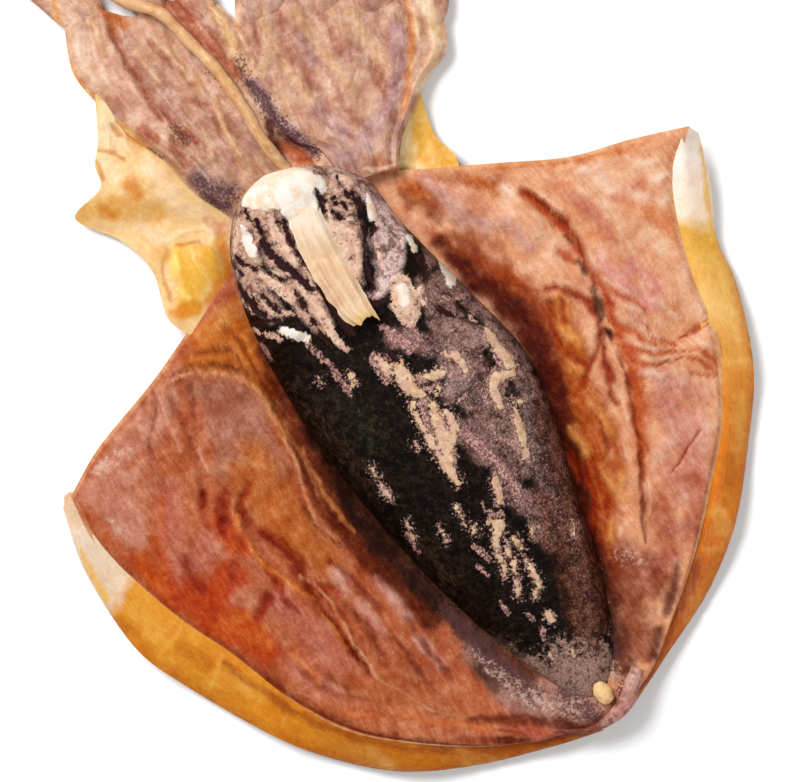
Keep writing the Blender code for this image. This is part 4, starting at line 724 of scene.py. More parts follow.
# Torn patches on the mound, and dense specks: strokes of x, y and half width
CREAM_FLAKES = [
    [(1.5, 14.1, 0.8), (0.7, 11.8, 1.4), (1, 8.8, 1.4), (2.2, 6.6, 0.8)], [(4.9, 5.7, 0.6),
     (6.4, 6.2, 0.4)], [(-0.5, 6.4, 0.4), (-1, 3.4, 0.5), (-1.2, 0.3, 0.5), (-1.3, -3.2, 0.7),
     (-1.1, -6.4, 0.8), (-1, -9.2, 0.8), (-1, -11.9, 0.6)], [(4.4, 1, 0.6), (4.3, -1.7, 0.8),
     (2.5, -4.4, 0.8)], [(4.3, 9.3, 0.6), (6.1, 8.4, 0.8), (8.5, 8.1, 0.6)], [(11.6, 10.7, 0.5),
     (12.1, 8.2, 0.7), (12, 5.3, 0.6)], [(19.9, 10.5, 0.6), (19.7, 7.6, 1), (20, 4.6, 1.2),
     (20.4, 1.8, 0.8)], [(19.6, 0.8, 0.7), (17.4, 1.5, 1.1), (15.4, 1, 1.1), (14.8, -1.2, 1),
     (14.2, -3.6, 0.7)], [(16.2, -3.9, 0.5), (18, -5, 0.5)], [(16.6, -5.5, 0.5), (15.4, -8.6, 0.7),
     (14.4, -11.7, 0.9), (13.4, -14.4, 1)], [(5.6, -15.2, 0.6), (4.7, -17.9, 0.8), (4.3, -19.6, 0.6)], [
     (0.3, -22, 0.6), (1.7, -23.6, 0.9), (-0.3, -25.2, 0.7), (-1.4, -27.8, 0.6), (-2, -30.7, 0.4),
     (-2.8, -32.6, 0.2)], [(1.1, -27.2, 0.4), (0.2, -29.3, 0.5)], [(2.5, -27.2, 0.5), (2.8, -29.7, 0.6)],
    [(0.3, -31.5, 0.5), (-1, -33.9, 0.5), (-2.7, -37.8, 0.3)], [(2.5, -32.1, 0.4), (2.4, -34.9, 0.6),
     (1.7, -38, 0.6), (0.3, -39.2, 0.4)], [(-3.8, -16, 0.3), (-4, -19.8, 0.3)], [(-8.6, -17.3, 0.2),
     (-9, -20.7, 0.2)], [(-13.6, -13.2, 0.2), (-14.3, -16.8, 0.3)], [(2.3, 3.7, 0.8), (1.8, -0.2, 1.3),
     (0.9, -3.9, 1.3), (0, -7.5, 0.9)], [(-1.7, 17.5, 0.7), (-1.3, 15.4, 1.1), (-0.9, 13.5, 0.9)],
    [(-3.1, -21.4, 0.5), (-3.2, -22, 0.4)], [(-3.9, -0.9, 0.3), (-4.1, -2.1, 0.3)],
    [(0.5, -43.8, 0.5), (0.5, -45.2, 0.5)], [(7.1, -27.4, 0.4), (6, -28.7, 0.3)],
    [(-13.9, -0.4, 0.2), (-14.1, -3, 0.2)], [(-14.2, -4.4, 0.3), (-14.3, -6.7, 0.4), (-13.8, -8.2, 0.2)],
    [(-7.9, 17.3, 0.4), (-8.1, 15.4, 0.4)], [(-14.1, 19.5, 0.2), (-13.8, 18.8, 0.2)],
    [(10.5, 10.9, 0.3), (10.6, 10.4, 0.3)], [(14.3, -31.6, 0.5), (13.2, -33.1, 0.5)],
    [(0.7, -52.1, 0.4), (0.6, -53.8, 0.5)], [(-3.4, -51.2, 0.4), (-3.3, -52.2, 0.4)]]
PINK_FLAKES = [
    [(1.7, 5.1, 1.2), (1.5, 0.9, 2.2), (0.7, -2.8, 2.2), (-0, -6.6, 1.6), (-0.5, -9.1, 0.8)],
    [(19.6, 7.4, 0.8), (19.6, 3.9, 2), (16.4, 0.7, 1.6), (14.5, -2.8, 1)], [(15.7, -7.3, 1),
     (13.6, -12.6, 1.4)], [(3, 9.4, 0.8), (4.2, 6.8, 1)], [(-2.1, 18, 0.8), (-1.8, 16.1, 1.4),
     (-1.5, 13.6, 1.2), (-2.9, 12.4, 0.6)], [(7.8, -11.7, 0.4), (7.9, -13.8, 0.8), (8.2, -16.4, 0.8),
     (8, -19, 0.8), (7.6, -21.6, 0.4)], [(12, -2.7, 0.3), (12.3, -0.6, 0.4), (12.8, 1, 0.3)],
    [(10.6, -5.6, 0.3), (9.9, -8.3, 0.4)], [(10.9, -9.1, 0.4), (12.1, -11.2, 0.6), (13.2, -13.3, 0.6)],
    [(5.6, -5.4, 0.9), (6.3, -8.1, 1), (6.9, -10.9, 0.9)], [(-2, -45.5, 0.4), (-2.6, -47.5, 0.4)],
    [(-4.8, -24.5, 0.4), (-4.2, -26.6, 0.6), (-3.6, -28.3, 0.6)], [(-6.5, -28, 0.2), (-5.7, -30.6, 0.2)],
    [(0.8, -18.1, 0.4), (1.4, -20.6, 0.6), (3.1, -21.7, 0.4)], [(2.7, 21.9, 0.9), (3.5, 18.5, 1),
     (5, 16.4, 0.9)], [(7.6, 18.4, 0.6), (7, 15.9, 0.6), (4.2, 15.2, 0.4)], [(-11.8, 26.6, 0.6),
     (-10.7, 22.6, 0.7), (-10.1, 18.7, 0.6), (-10, 15.8, 0.5), (-9.9, 13.6, 0.4)],
    [(-20.9, 33.1, 0.4), (-19.7, 30.5, 0.6), (-19.7, 28.2, 0.4)], [(6.2, 9.3, 0.3), (8.4, 9.8, 0.3),
     (9, 8.1, 0.3)], [(2.9, -1.1, 0.4), (0.6, -1.3, 0.3)], [(7.8, 1.3, 0.3), (9.7, 2, 0.3)],
    [(-14.8, -15.3, 0.2), (-15, -18.2, 0.3), (-14.8, -19.8, 0.2)], [(-6.2, -36.6, 0.3), (-6.1, -39.5, 0.3)],
    [(-3.1, -40.8, 0.2), (-2.3, -43.3, 0.2)], [(15.2, 20.7, 0.4), (17.2, 19.5, 0.4), (20, 18.7, 0.4)],
    [(18.7, 15, 0.3), (21.4, 15.7, 0.4)], [(-2.4, -3.2, 0.2), (-2.5, -4.1, 0.2)]]
# Bright patches: the cream cap of the knob, and on the lumps their cream with painted white glints
BRIGHT_PATCHES = [
    [(-7.4, 57.2, 1), (-4.4, 58.4, 2.2), (-0.4, 57.2, 2.8), (3.2, 55.4, 2.9), (5.8, 52.8, 2.2)],
    [(-6.3, 56.1, 1.2), (-2, 53.9, 1.6), (2.3, 51.3, 1.8), (4.5, 49.9, 1.4)], [(-0.8, 51.3, 1.8),
     (0.6, 49, 1.8), (2.6, 49.2, 1.6)], [(-10.9, 53.5, 0.6), (-11.4, 50.8, 1), (-11.8, 47.9, 0.9)],
    [(-11.1, 43.7, 0.2), (-9.4, 41.5, 0.3)], [(13.8, 46, 0.4), (13.3, 44, 0.6), (12.2, 41.8, 1)],
    [(16.4, 34.5, 0.6), (16, 31.7, 0.6)], [(19.8, 28.2, 0.8), (19.7, 25.9, 1.2), (19.2, 23.1, 1.2),
     (18.2, 22.2, 0.8)], [(-14.8, 32, 0.8), (-13.4, 30.1, 1), (-11.7, 28.6, 0.9), (-11.3, 27.7, 0.6)],
    [(9.7, 26.4, 1), (8.9, 24.3, 1.3)]]
BARE_PATCHES = [
    [(-5.9, 54.4, 0.9), (-5, 52, 0.8), (-5.7, 48.6, 1), (-5.7, 44.9, 1), (-5.8, 41.6, 0.6)],
    [(-12.4, 43.4, 0.5), (-11.6, 41, 0.9), (-10.6, 38.5, 1.1), (-10, 36, 0.9)], [(4.5, 43.8, 1.6),
     (5.6, 40.7, 2.2), (4.5, 36.2, 1.8), (1.9, 32.7, 1.2)], [(0.7, 31.5, 0.8), (1.2, 29.3, 0.6)],
    [(-7.4, 37.5, 0.4), (-6.6, 34.2, 0.8), (-6.5, 29.4, 0.9), (-6.6, 24.7, 0.8), (-5.8, 21.9, 0.4)],
    [(-5.1, 36.7, 0.4), (-4.8, 31.9, 0.4)], [(-4.5, 39.9, 0.3), (-4.1, 36.8, 0.4)],
    [(-15.7, 40.7, 0.3), (-15, 36.6, 0.4), (-12.1, 33.8, 0.6), (-10, 32.5, 0.3)],
    [(-18.4, 41.4, 0.3), (-17.8, 38.2, 0.4)], [(-10.7, 55, 0.6), (-13.8, 51.5, 0.6), (-15.3, 49.4, 0.4)],
    [(-19.5, 35.1, 0.4), (-17.6, 32.5, 0.6), (-15.6, 30.3, 0.4)], [(10.3, 52.4, 0.8), (12.1, 50.1, 0.8),
     (10.5, 49, 0.4)], [(10.7, 39.4, 0.4), (9.9, 35.8, 0.4), (8.8, 31.7, 0.4)], [(10.2, 27.6, 1.8),
     (9.1, 24.7, 2.8), (8.4, 21.6, 2.4), (7.9, 20, 1.2)], [(12.8, 24.5, 0.8), (11.8, 21.4, 0.6)],
    [(5.8, 48.2, 0.4), (5.1, 45.2, 0.4)], [(6.7, 44.3, 0.4), (8.4, 43.3, 0.4)], [(18.4, 14.5, 0.2),
     (18.8, 13.3, 0.2)]]
INK_STREAKS = [
    [(-3.2, 50.4, 0.4), (-3.9, 47, 0.4), (-4.2, 43, 0.4), (-3.5, 39.3, 0.4), (-3.7, 35.2, 0.6),
     (-3.7, 30.5, 0.9), (-3.3, 25.1, 1.2)], [(-4.1, 50.5, 0.4), (-3.6, 48.3, 0.4)], [(-7.6, 53.1, 0.3),
     (-8.3, 49.8, 0.6), (-8.6, 46.2, 0.9), (-7.7, 42.4, 0.9), (-6.5, 39, 0.6), (-5.6, 35.9, 0.4)], [
     (-11.6, 44.8, 0.2), (-10, 41.2, 0.3), (-8.4, 38.1, 0.3), (-8.4, 34.8, 0.3), (-8.6, 30.2, 0.3),
     (-8.5, 27.3, 0.3)], [(-8.7, 27, 0.3), (-8.1, 24.3, 0.4)], [(-15, 49.5, 0.4), (-14.2, 47.1, 0.6),
     (-13, 45.2, 0.4)], [(-16.2, 47.6, 0.4), (-15.7, 45.4, 0.4)], [(-17.5, 44.7, 0.3), (-17.4, 41.8, 0.6),
     (-17, 38.7, 0.8), (-16.1, 36.3, 0.6)], [(-14.1, 41.1, 0.2), (-14, 37.8, 0.4), (-13.5, 35.2, 0.3)],
    [(-19, 36.2, 0.4), (-15, 34.4, 0.4), (-10.9, 32.6, 0.3)], [(-8.4, 56, 0.2), (-8.6, 53.8, 0.3),
     (-8.8, 52, 0.2)], [(5.5, 51.6, 0.4), (5, 49.1, 0.5), (3.3, 46.4, 0.4), (0.9, 44.8, 0.3)],
    [(5.3, 51.2, 0.4), (5.9, 49.2, 0.4)], [(7.8, 49.2, 0.4), (7.5, 47.5, 0.4)], [(8.7, 47.3, 0.4),
     (8.7, 45.4, 0.4)], [(6.2, 46.5, 0.4), (6.9, 44.6, 0.4)], [(11.4, 47.5, 0.3), (11.1, 45.3, 0.4)],
    [(10.5, 49, 0.2), (10.3, 47.2, 0.3)], [(10.6, 52.2, 0.2), (10.2, 51.1, 0.2)], [(11.8, 45.8, 0.3),
     (10.1, 42.6, 0.3), (9.3, 39.4, 0.4), (6.8, 35.8, 0.5), (5.7, 32.4, 0.5), (4.8, 29.5, 0.4)],
    [(11.8, 40.4, 0.4), (9.2, 37.3, 0.3)], [(-0.7, 28.6, 0.4), (1.9, 27.5, 0.6), (4.6, 26.5, 0.7),
     (7, 26.5, 0.4)], [(1.1, 33.4, 0.3), (1, 31.3, 0.4), (2.2, 29.4, 0.5)], [(14, 19.6, 0.4),
     (14.9, 17.3, 0.6), (16.5, 16.1, 0.4)], [(17, 31.3, 0.3), (16.1, 28.4, 0.6), (14.5, 25.8, 0.4)],
    [(3.4, 23.3, 0.3), (4.5, 21.7, 0.3)], [(0.8, 17.3, 0.4), (1.5, 14.6, 0.3)], [(2.5, 7.9, 0.3),
     (4.6, 7.5, 0.4)], [(1.4, 4.5, 0.3), (1.7, 2.7, 0.4)]]
DARK_SPECKS = [
    [(-13.3, 66, 1.2), (-12.2, 62.5, 1.8), (-9.5, 59.9, 1.6), (-12.4, 59.8, 1.2)],
    [(5.6, 78.3, 0.8), (6.3, 74.1, 1.2), (6.2, 69, 1.2), (7.5, 64, 1.2), (9.6, 58.9, 1)],
    [(6.3, 82.6, 0.8), (5.3, 79.4, 0.8)], [(-11.9, 77.8, 1), (-11.3, 74.6, 1)], [(-18.4, 76.7, 0.6),
     (-17.6, 74.3, 0.6)], [(0.2, 84, 0.6), (2.5, 79.3, 0.6)], [(-16.5, -32.1, 1.2), (-15.1, -39.6, 1.8),
     (-13.3, -48.2, 2.4), (-10.3, -56.6, 2)], [(4.6, -52.7, 2), (7.1, -57.8, 2)],
    [(-5.4, -60.6, 2.8), (-2.6, -65.1, 2)], [(5.9, -64.3, 1), (2.5, -66.7, 1)], [(8.2, -36.1, 1.2),
     (7.4, -45, 2)]]
PALE_SPECKS = [
    [(-63.8, 17.8, 1.2), (-63.2, 12.7, 0.8)], [(58.7, 19.7, 1.4), (60.5, 16.2, 1.4)],
    [(55.4, 25, 1.4), (56.4, 22.1, 1.2)], [(-16.4, -42.5, 0.8), (-14.8, -48.2, 1.4), (-12.4, -54.4, 2),
     (-8.6, -59.6, 2), (-3.7, -63.1, 1.6)], [(3.4, -55.4, 2), (5.3, -60.6, 2)], [(-60.6, 27.5, 1.6),
     (-55.6, 28, 1.6)], [(18.9, -41.7, 1.4), (21.9, -44.5, 1.2)], [(10.9, -47.1, 1.6), (13.4, -39.3, 1.6)],
    [(9.8, -33.6, 1.6), (7.8, -40.6, 1.6)], [(-17.5, 106.7, 1.2), (-18.5, 101.4, 1.4)]]

# Flakes, patches and streaks of the mound: strokes, relief, and the band over which it rises
MOUND_MASKS = [("cream", CREAM_FLAKES, 0.35, -0.4, 0.2), ("pink", PINK_FLAKES, 0.22, -0.4, 0.2),
               ("bright", BRIGHT_PATCHES, 0.4, -0.5, 0.4), ("bare", BARE_PATCHES, 0.15, -0.4, 0.3),
               ("ink", INK_STREAKS, -0.6, -0.4, 0.3)]


def ease(low, high, value):
    """A soft step from 0 at low to 1 at high."""
    share = np.clip((value - low) / (high - low), 0.0, 1.0)
    return share * share * (3.0 - 2.0 * share)


def smooth_line(points, steps=10):
    """A smooth line through the points, with the share of its length at each sample."""
    knots = np.array(points, float)
    ends = np.vstack([2 * knots[0] - knots[1], knots, 2 * knots[-1] - knots[-2]])
    t = np.linspace(0, 1, steps, endpoint=False)[:, None]
    runs = []
    for a, b, c, d in zip(ends, ends[1:], ends[2:], ends[3:]):
        runs.append(0.5 * (2 * b + (c - a) * t + (2 * a - 5 * b + 4 * c - d) * t ** 2
                           + (3 * b - a - 3 * c + d) * t ** 3))
    line = np.vstack(runs + [knots[-1:]])
    gone = np.concatenate([[0.0], np.cumsum(np.linalg.norm(np.diff(line, axis=0), axis=1))])
    return gone / gone[-1], line


def along(line, share):
    """The points at the given shares of a smooth line."""
    shares, samples = line
    columns = [np.interp(share, shares, samples[:, k]) for k in range(samples.shape[1])]
    return np.stack(columns, -1)


def level(points, value):
    """The second coordinate of a smooth line at a value of its first one."""
    samples = smooth_line(points)[1]
    return np.interp(value, samples[:, 0], samples[:, 1])


def between(left, right, first, last):
    """Places on a sheet between four edges: u runs from left to right, v from first to last."""
    left, right, first, last = (smooth_line(e) for e in (left, right, first, last))

    def place(u, v):
        rows = (1 - v)[:, None] * along(first, u) + v[:, None] * along(last, u)
        columns = (1 - u)[:, None] * along(left, v) + u[:, None] * along(right, v)
        corners = (((1 - u) * (1 - v))[:, None] * first[1][0] + (u * (1 - v))[:, None] * first[1][-1]
                   + ((1 - u) * v)[:, None] * last[1][0] + (u * v)[:, None] * last[1][-1])
        return rows + columns - corners

    return place


def across(inner, outer):
    """Places on a band between two edges: u runs from inner to outer, v along both."""
    inner, outer = smooth_line(inner), smooth_line(outer)

    def place(u, v):
        return (1 - u)[:, None] * along(inner, v) + u[:, None] * along(outer, v)

    return place


def beside(x, y, points):
    """Distance from a line of points, counted negative on its left, and the share along it."""
    samples = smooth_line(points, 5)[1]
    best = np.full(x.shape, 1e9)
    signed = np.zeros(x.shape)
    share = np.zeros(x.shape)
    runs = len(samples) - 1
    for k, (start, end) in enumerate(zip(samples, samples[1:])):
        step = end - start
        part = np.clip(((x - start[0]) * step[0] + (y - start[1]) * step[1]) / (step @ step), 0, 1)
        off_x = x - start[0] - part * step[0]
        off_y = y - start[1] - part * step[1]
        distance = np.hypot(off_x, off_y)
        nearer = distance < best
        best = np.where(nearer, distance, best)
        side = np.where(step[0] * off_y - step[1] * off_x > 0, -1.0, 1.0)
        signed = np.where(nearer, side * distance, signed)
        share = np.where(nearer, (k + part) / runs, share)
    return signed, share


def pit(x, y, spec):
    """Depth of a round pit given as centre, radius and depth."""
    centre_x, centre_y, radius, depth = spec
    return depth * np.exp(-((x - centre_x) ** 2 + (y - centre_y) ** 2) / radius ** 2)


def spread(x, y):
    """How far a place lies outside the flat patch: 0 on it, about 1 at the rim of a lobe."""
    aside = np.maximum(0, np.abs(x) - REST_HALF_WIDTH) / REACH_ASIDE
    tailward = np.maximum(0, REST_TAIL_END - y) / REACH_TAILWARD
    headward = np.maximum(0, y - REST_HEAD_END) / REACH_HEADWARD
    return np.sqrt(aside ** 2 + tailward ** 2 + headward ** 2)


def mantle_under(x, y):
    """Height of the back of the mantle."""
    out = spread(x, y)
    height = LOBE_RISE * ease(0, 0.62, out) - RIM_DROP * ease(0.6, 1.1, out)
    for corner_x, corner_y, reach, lift in CORNERS:
        height = height + lift * (1 - ease(0, reach, np.hypot(x - corner_x, y - corner_y)))
    return height


def mantle_over(x, y, edge):
    """Height of the inner face of the mantle; edge is 0 at the border and 1 inside."""
    thick = SKIN_BY_BODY + (SKIN_AT_RIM - SKIN_BY_BODY) * ease(0.2, 1.0, spread(x, y))
    fold = np.zeros(x.shape)
    for line, height, half_width in FOLDS:
        signed, share = beside(x, y, line)
        fade = ease(0, 0.15, share) * (1 - ease(0.85, 1, share))
        step = signed / half_width
        fold += height * fade * step * np.exp(0.5 - step ** 2 / 2)
    fold = np.maximum(fold, THINNEST_FOLD - thick)
    return mantle_under(x, y) + (thick + fold) * (RIM_ROUNDING + (1 - RIM_ROUNDING) * edge)


def mound_foot(x, y):
    """Height of the foot of the mound, inside the skin of the mantle."""
    return MOUND_FOOT + mantle_under(x, np.minimum(y, MOUND_FREE_FROM))


def mound_over(x, y):
    """Height of the top of the mound above a place inside its outline."""
    left, right, crest = (level(e, y) for e in (MOUND_LEFT, MOUND_RIGHT, MOUND_CREST))
    middle, half = (left + right) / 2, np.maximum((right - left) / 2, 0.1)
    cosine = np.clip(np.abs((x - middle) / half), 0, 1) ** (1 / SHOULDER_ROUND)
    sine = np.sqrt(1 - cosine ** 2)
    foot = mound_foot(x, y)
    return foot + (crest - foot) * sine ** CREST_ROUND


def ripple(x, y, seed):
    """Smooth noise from -1 to 1 with lumps about one unit wide."""
    table = np.random.RandomState(seed).uniform(-1, 1, (NOISE_CELLS, NOISE_CELLS))
    column, row = np.floor(x).astype(int), np.floor(y).astype(int)
    s, t = x - column, y - row
    s, t = s * s * (3 - 2 * s), t * t * (3 - 2 * t)
    column, row = column % NOISE_CELLS, row % NOISE_CELLS
    right, up = (column + 1) % NOISE_CELLS, (row + 1) % NOISE_CELLS
    low = table[column, row] * (1 - s) + table[right, row] * s
    high = table[column, up] * (1 - s) + table[right, up] * s
    return low * (1 - t) + high * t


def ripples(x, y, seed, octaves=3):
    """Layers of smooth noise, each twice as fine and half as strong."""
    return sum(ripple(x * 2 ** k, y * 2 ** k, seed + k) / 2 ** k for k in range(octaves)) / 1.6


def inside(x, y, lines):
    """Millimetres that each place lies inside strokes whose points carry a half width."""
    found = np.full(x.shape, -FAR)
    for line in lines:
        samples = smooth_line(line, 4)[1]
        reach = samples[:, 2].max() + FAR
        low, high = samples[:, :2].min(0) - reach, samples[:, :2].max(0) + reach
        near = np.flatnonzero((x > low[0]) & (x < high[0]) & (y > low[1]) & (y < high[1]))
        at_x, at_y = x[near], y[near]
        best = np.full(at_x.shape, -FAR)
        for start, end in zip(samples, samples[1:]):
            step = end - start
            part = ((at_x - start[0]) * step[0] + (at_y - start[1]) * step[1])
            part = np.clip(part / max(step[0] ** 2 + step[1] ** 2, 1e-9), 0, 1)
            away = np.hypot(at_x - start[0] - part * step[0], at_y - start[1] - part * step[1])
            best = np.maximum(best, start[2] + part * step[2] - away)
        found[near] = np.maximum(found[near], best)
    return found


def lay(colours, *coats):
    """Lays colours over others, each by a share from 0 to 1 at each place."""
    for over, share in coats:
        colours = colours + (over - colours) * np.clip(share, 0, 1)[:, None]
    return colours


def coat(x, y, layers, colours, wobble):
    """Lays painted strokes over colours. Returns them with the relief that the strokes raise."""
    relief = np.zeros(x.shape)
    sway_x, sway_y = (STROKE_SWAY * ripples(x / 2.4, y / 2.4, seed, 4) for seed in (15, 21))
    x, y = x + sway_x, y + sway_y
    for shade, share, soft, height, strokes in layers:
        cover = ease(-soft, 0.5 * soft, inside(x, y, strokes) + soft * wobble)
        colours = lay(colours, (tone(*shade), share * cover))
        relief += height * cover
    return colours, relief


def start_piece(name, add_shape, **settings):
    """Adds one of Blender's shapes with nothing else selected."""
    bpy.ops.object.select_all(action="DESELECT")
    add_shape(**settings)
    piece = bpy.context.object
    piece.name = name
    return piece


def vertices_of(piece):
    """The vertices of a piece, in metres, one row each."""
    flat = np.empty(len(piece.data.vertices) * 3)
    piece.data.vertices.foreach_get("co", flat)
    return flat.reshape(-1, 3)


def write_places(piece, places):
    """Puts the vertices of a piece at places given in millimetres."""
    piece.data.vertices.foreach_set("co", (np.asarray(places) * MM).ravel())
    mesh = bmesh.new()
    mesh.from_mesh(piece.data)
    bmesh.ops.recalc_face_normals(mesh, faces=mesh.faces)
    mesh.to_mesh(piece.data)
    mesh.free()


def paint(piece, name, values):
    """Stores a number, a colour or the flow at each vertex."""
    values = np.asarray(values, float)
    kind, key = ("FLOAT", "value") if values.ndim == 1 else ("FLOAT_VECTOR", "vector")
    if values.ndim > 1 and name != "flow":
        kind, key = "FLOAT_COLOR", "color"
        values = np.column_stack([values, np.ones(len(values))])
    piece.data.attributes.new(name, kind, "POINT").data.foreach_set(key, values.ravel())


def paint_specks(piece, x, y, copies=1):
    """Marks where dark and pale specks lie."""
    for name, strokes in (("dark_specks", DARK_SPECKS), ("pale_specks", PALE_SPECKS)):
        paint(piece, name, np.tile(ease(-2.5, 1.5, inside(x, y, strokes)), copies))


def paint_sheet(piece, colours, u, v, width, length):
    """Colours both faces of a sheet of a width and length in millimetres; its fibres follow v."""
    flow = np.column_stack([u * width, v * length, np.zeros(len(u))]) * MM
    for name, values in (("colour", colours), ("flow", flow)):
        paint(piece, name, np.vstack([values, values]))


def smooth(piece, degrees=60):
    """Smooth faces, with the sharp borders kept."""
    bpy.ops.object.select_all(action="DESELECT")
    piece.select_set(True)
    bpy.context.view_layer.objects.active = piece
    bpy.ops.object.shade_smooth_by_angle(angle=math.radians(degrees))


def hand_in(piece, material):
    """Gives a finished piece its material and its place in the frame."""
    piece.data.materials.clear()
    piece.data.materials.append(material)
    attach(piece, "root")
    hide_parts(NODE)


def sheet(name, place, under, over, cells):
    """A slab on a grid. Returns it with the places of its grid; its upper face comes second."""
    piece = start_piece(name, bpy.ops.mesh.primitive_grid_add, x_subdivisions=cells[0],
                        y_subdivisions=cells[1], size=1)
    grid = vertices_of(piece)
    u, v = grid[:, 0] + 0.5, 0.5 - grid[:, 1]
    flat = place(u, v)
    thickness = piece.modifiers.new("thickness", "SOLIDIFY")
    thickness.thickness = MM
    bpy.ops.object.modifier_apply(modifier=thickness.name)
    x, y = flat[:, 0], flat[:, 1]
    low = np.column_stack([x, y, under(x, y, u, v)])
    high = np.column_stack([x, y, over(x, y, u, v)])
    write_places(piece, np.vstack([low, high]))
    return piece, x, y, u, v


def slab(name, place, middle, half_thick, cells):
    """A sheet that lies by a half thickness on both sides of its middle."""
    return sheet(name, place, lambda x, y, u, v: middle(x, y, u, v) - half_thick(u),
                 lambda x, y, u, v: middle(x, y, u, v) + half_thick(u), cells)


def strand(name, points, radii, samples, flattened=1.0, sides=6):
    """A tapered round strand along a smooth line; below 1, flattened presses it down."""
    line = smooth_line(points)
    shares = np.linspace(0, 1, samples)
    places = along(line, shares)
    curve = bpy.data.curves.new(name, "CURVE")
    curve.dimensions = "3D"
    curve.bevel_depth = MM
    curve.bevel_resolution = sides
    curve.use_fill_caps = True
    spline = curve.splines.new("POLY")
    spline.points.add(samples - 1)
    for knot, place, share in zip(spline.points, places, shares):
        radius = float(radii(share))
        height = place[2] / flattened + (radius if flattened < 1 else 0)
        knot.co = (place[0] * MM, place[1] * MM, height * MM, 1)
        knot.radius = radius
    path = bpy.data.objects.new(name + "_path", curve)
    bpy.context.collection.objects.link(path)
    bpy.context.view_layer.update()
    shaped = path.evaluated_get(bpy.context.evaluated_depsgraph_get())
    mesh = bpy.data.meshes.new_from_object(shaped)
    piece = bpy.data.objects.new(name, mesh)
    bpy.context.collection.objects.link(piece)
    bpy.data.objects.remove(path)
    work = bmesh.new()
    work.from_mesh(mesh)
    bmesh.ops.remove_doubles(work, verts=work.verts, dist=0.00001)
    for vertex in work.verts:
        vertex.co.z *= flattened
    bmesh.ops.recalc_face_normals(work, faces=work.faces)
    work.to_mesh(mesh)
    work.free()
    return piece


def add(tree, kind, inputs=(), **settings):
    """A shader node with its settings, its values and the sockets that feed it."""
    node = tree.nodes.new(kind)
    for key, value in settings.items():
        setattr(node, key, value)
    for key, value in dict(inputs).items():
        if isinstance(value, bpy.types.NodeSocket):
            tree.links.new(value, node.inputs[key])
        else:
            node.inputs[key].default_value = value
    return node


def in_mm(tree, vector, size):
    """Coordinates in which one unit is a given number of millimetres along each axis."""
    scale = [1 / (MM * s) for s in size]
    return add(tree, "ShaderNodeMapping", {"Vector": vector, "Scale": scale}).outputs[0]


def noise(tree, vector, size, detail=3.0, rough=0.6):
    """Fractal noise whose lumps have a given size in millimetres."""
    size = size if isinstance(size, tuple) else (size, size, size)
    return add(tree, "ShaderNodeTexNoise", {"Vector": in_mm(tree, vector, size), "Scale": 1.0,
                                            "Detail": detail, "Roughness": rough}).outputs[0]


def ramp(tree, value, low, high, first=0.0, last=1.0):
    """Maps a value smoothly from low and high to first and last."""
    return add(tree, "ShaderNodeMapRange", {0: value, 1: low, 2: high, 3: first, 4: last},
               interpolation_type="SMOOTHSTEP").outputs[0]


def reckon(tree, operation, first, second):
    """One step of arithmetic with two values."""
    return add(tree, "ShaderNodeMath", {0: first, 1: second}, operation=operation).outputs[0]


def plus(tree, first, second):
    """The sum of two values."""
    return reckon(tree, "ADD", first, second)


def times(tree, first, second):
    """The product of two values."""
    return reckon(tree, "MULTIPLY", first, second)


def mix(tree, share, first, second, kind="MIX"):
    """Mixes two colours by a share."""
    node = add(tree, "ShaderNodeMix", {0: share}, data_type="RGBA", blend_type=kind)
    for index, value in ((6, first), (7, second)):
        if isinstance(value, bpy.types.NodeSocket):
            tree.links.new(value, node.inputs[index])
        else:
            node.inputs[index].default_value = (*value, 1.0)
    return node.outputs[2]


def read(tree, name, output=2):
    """A painted attribute: 0 its colour, 1 its vector, 2 its number."""
    return add(tree, "ShaderNodeAttribute", attribute_name=name).outputs[output]


def start_material(name):
    """A new material with its node tree, its shader and the object's own coordinates."""
    material = bpy.data.materials.new(name)
    material.use_nodes = True
    tree = material.node_tree
    shader = tree.nodes["Principled BSDF"]
    own = add(tree, "ShaderNodeTexCoord").outputs["Object"]
    return material, tree, shader, own


def bump(tree, height, distance, strength=1.0, normal=None):
    """Relief from a height whose full range stands for a distance in millimetres."""
    node = add(tree, "ShaderNodeBump", {"Height": height, "Distance": distance * MM,
                                        "Strength": strength})
    if normal is not None:
        tree.links.new(normal, node.inputs["Normal"])
    return node.outputs[0]


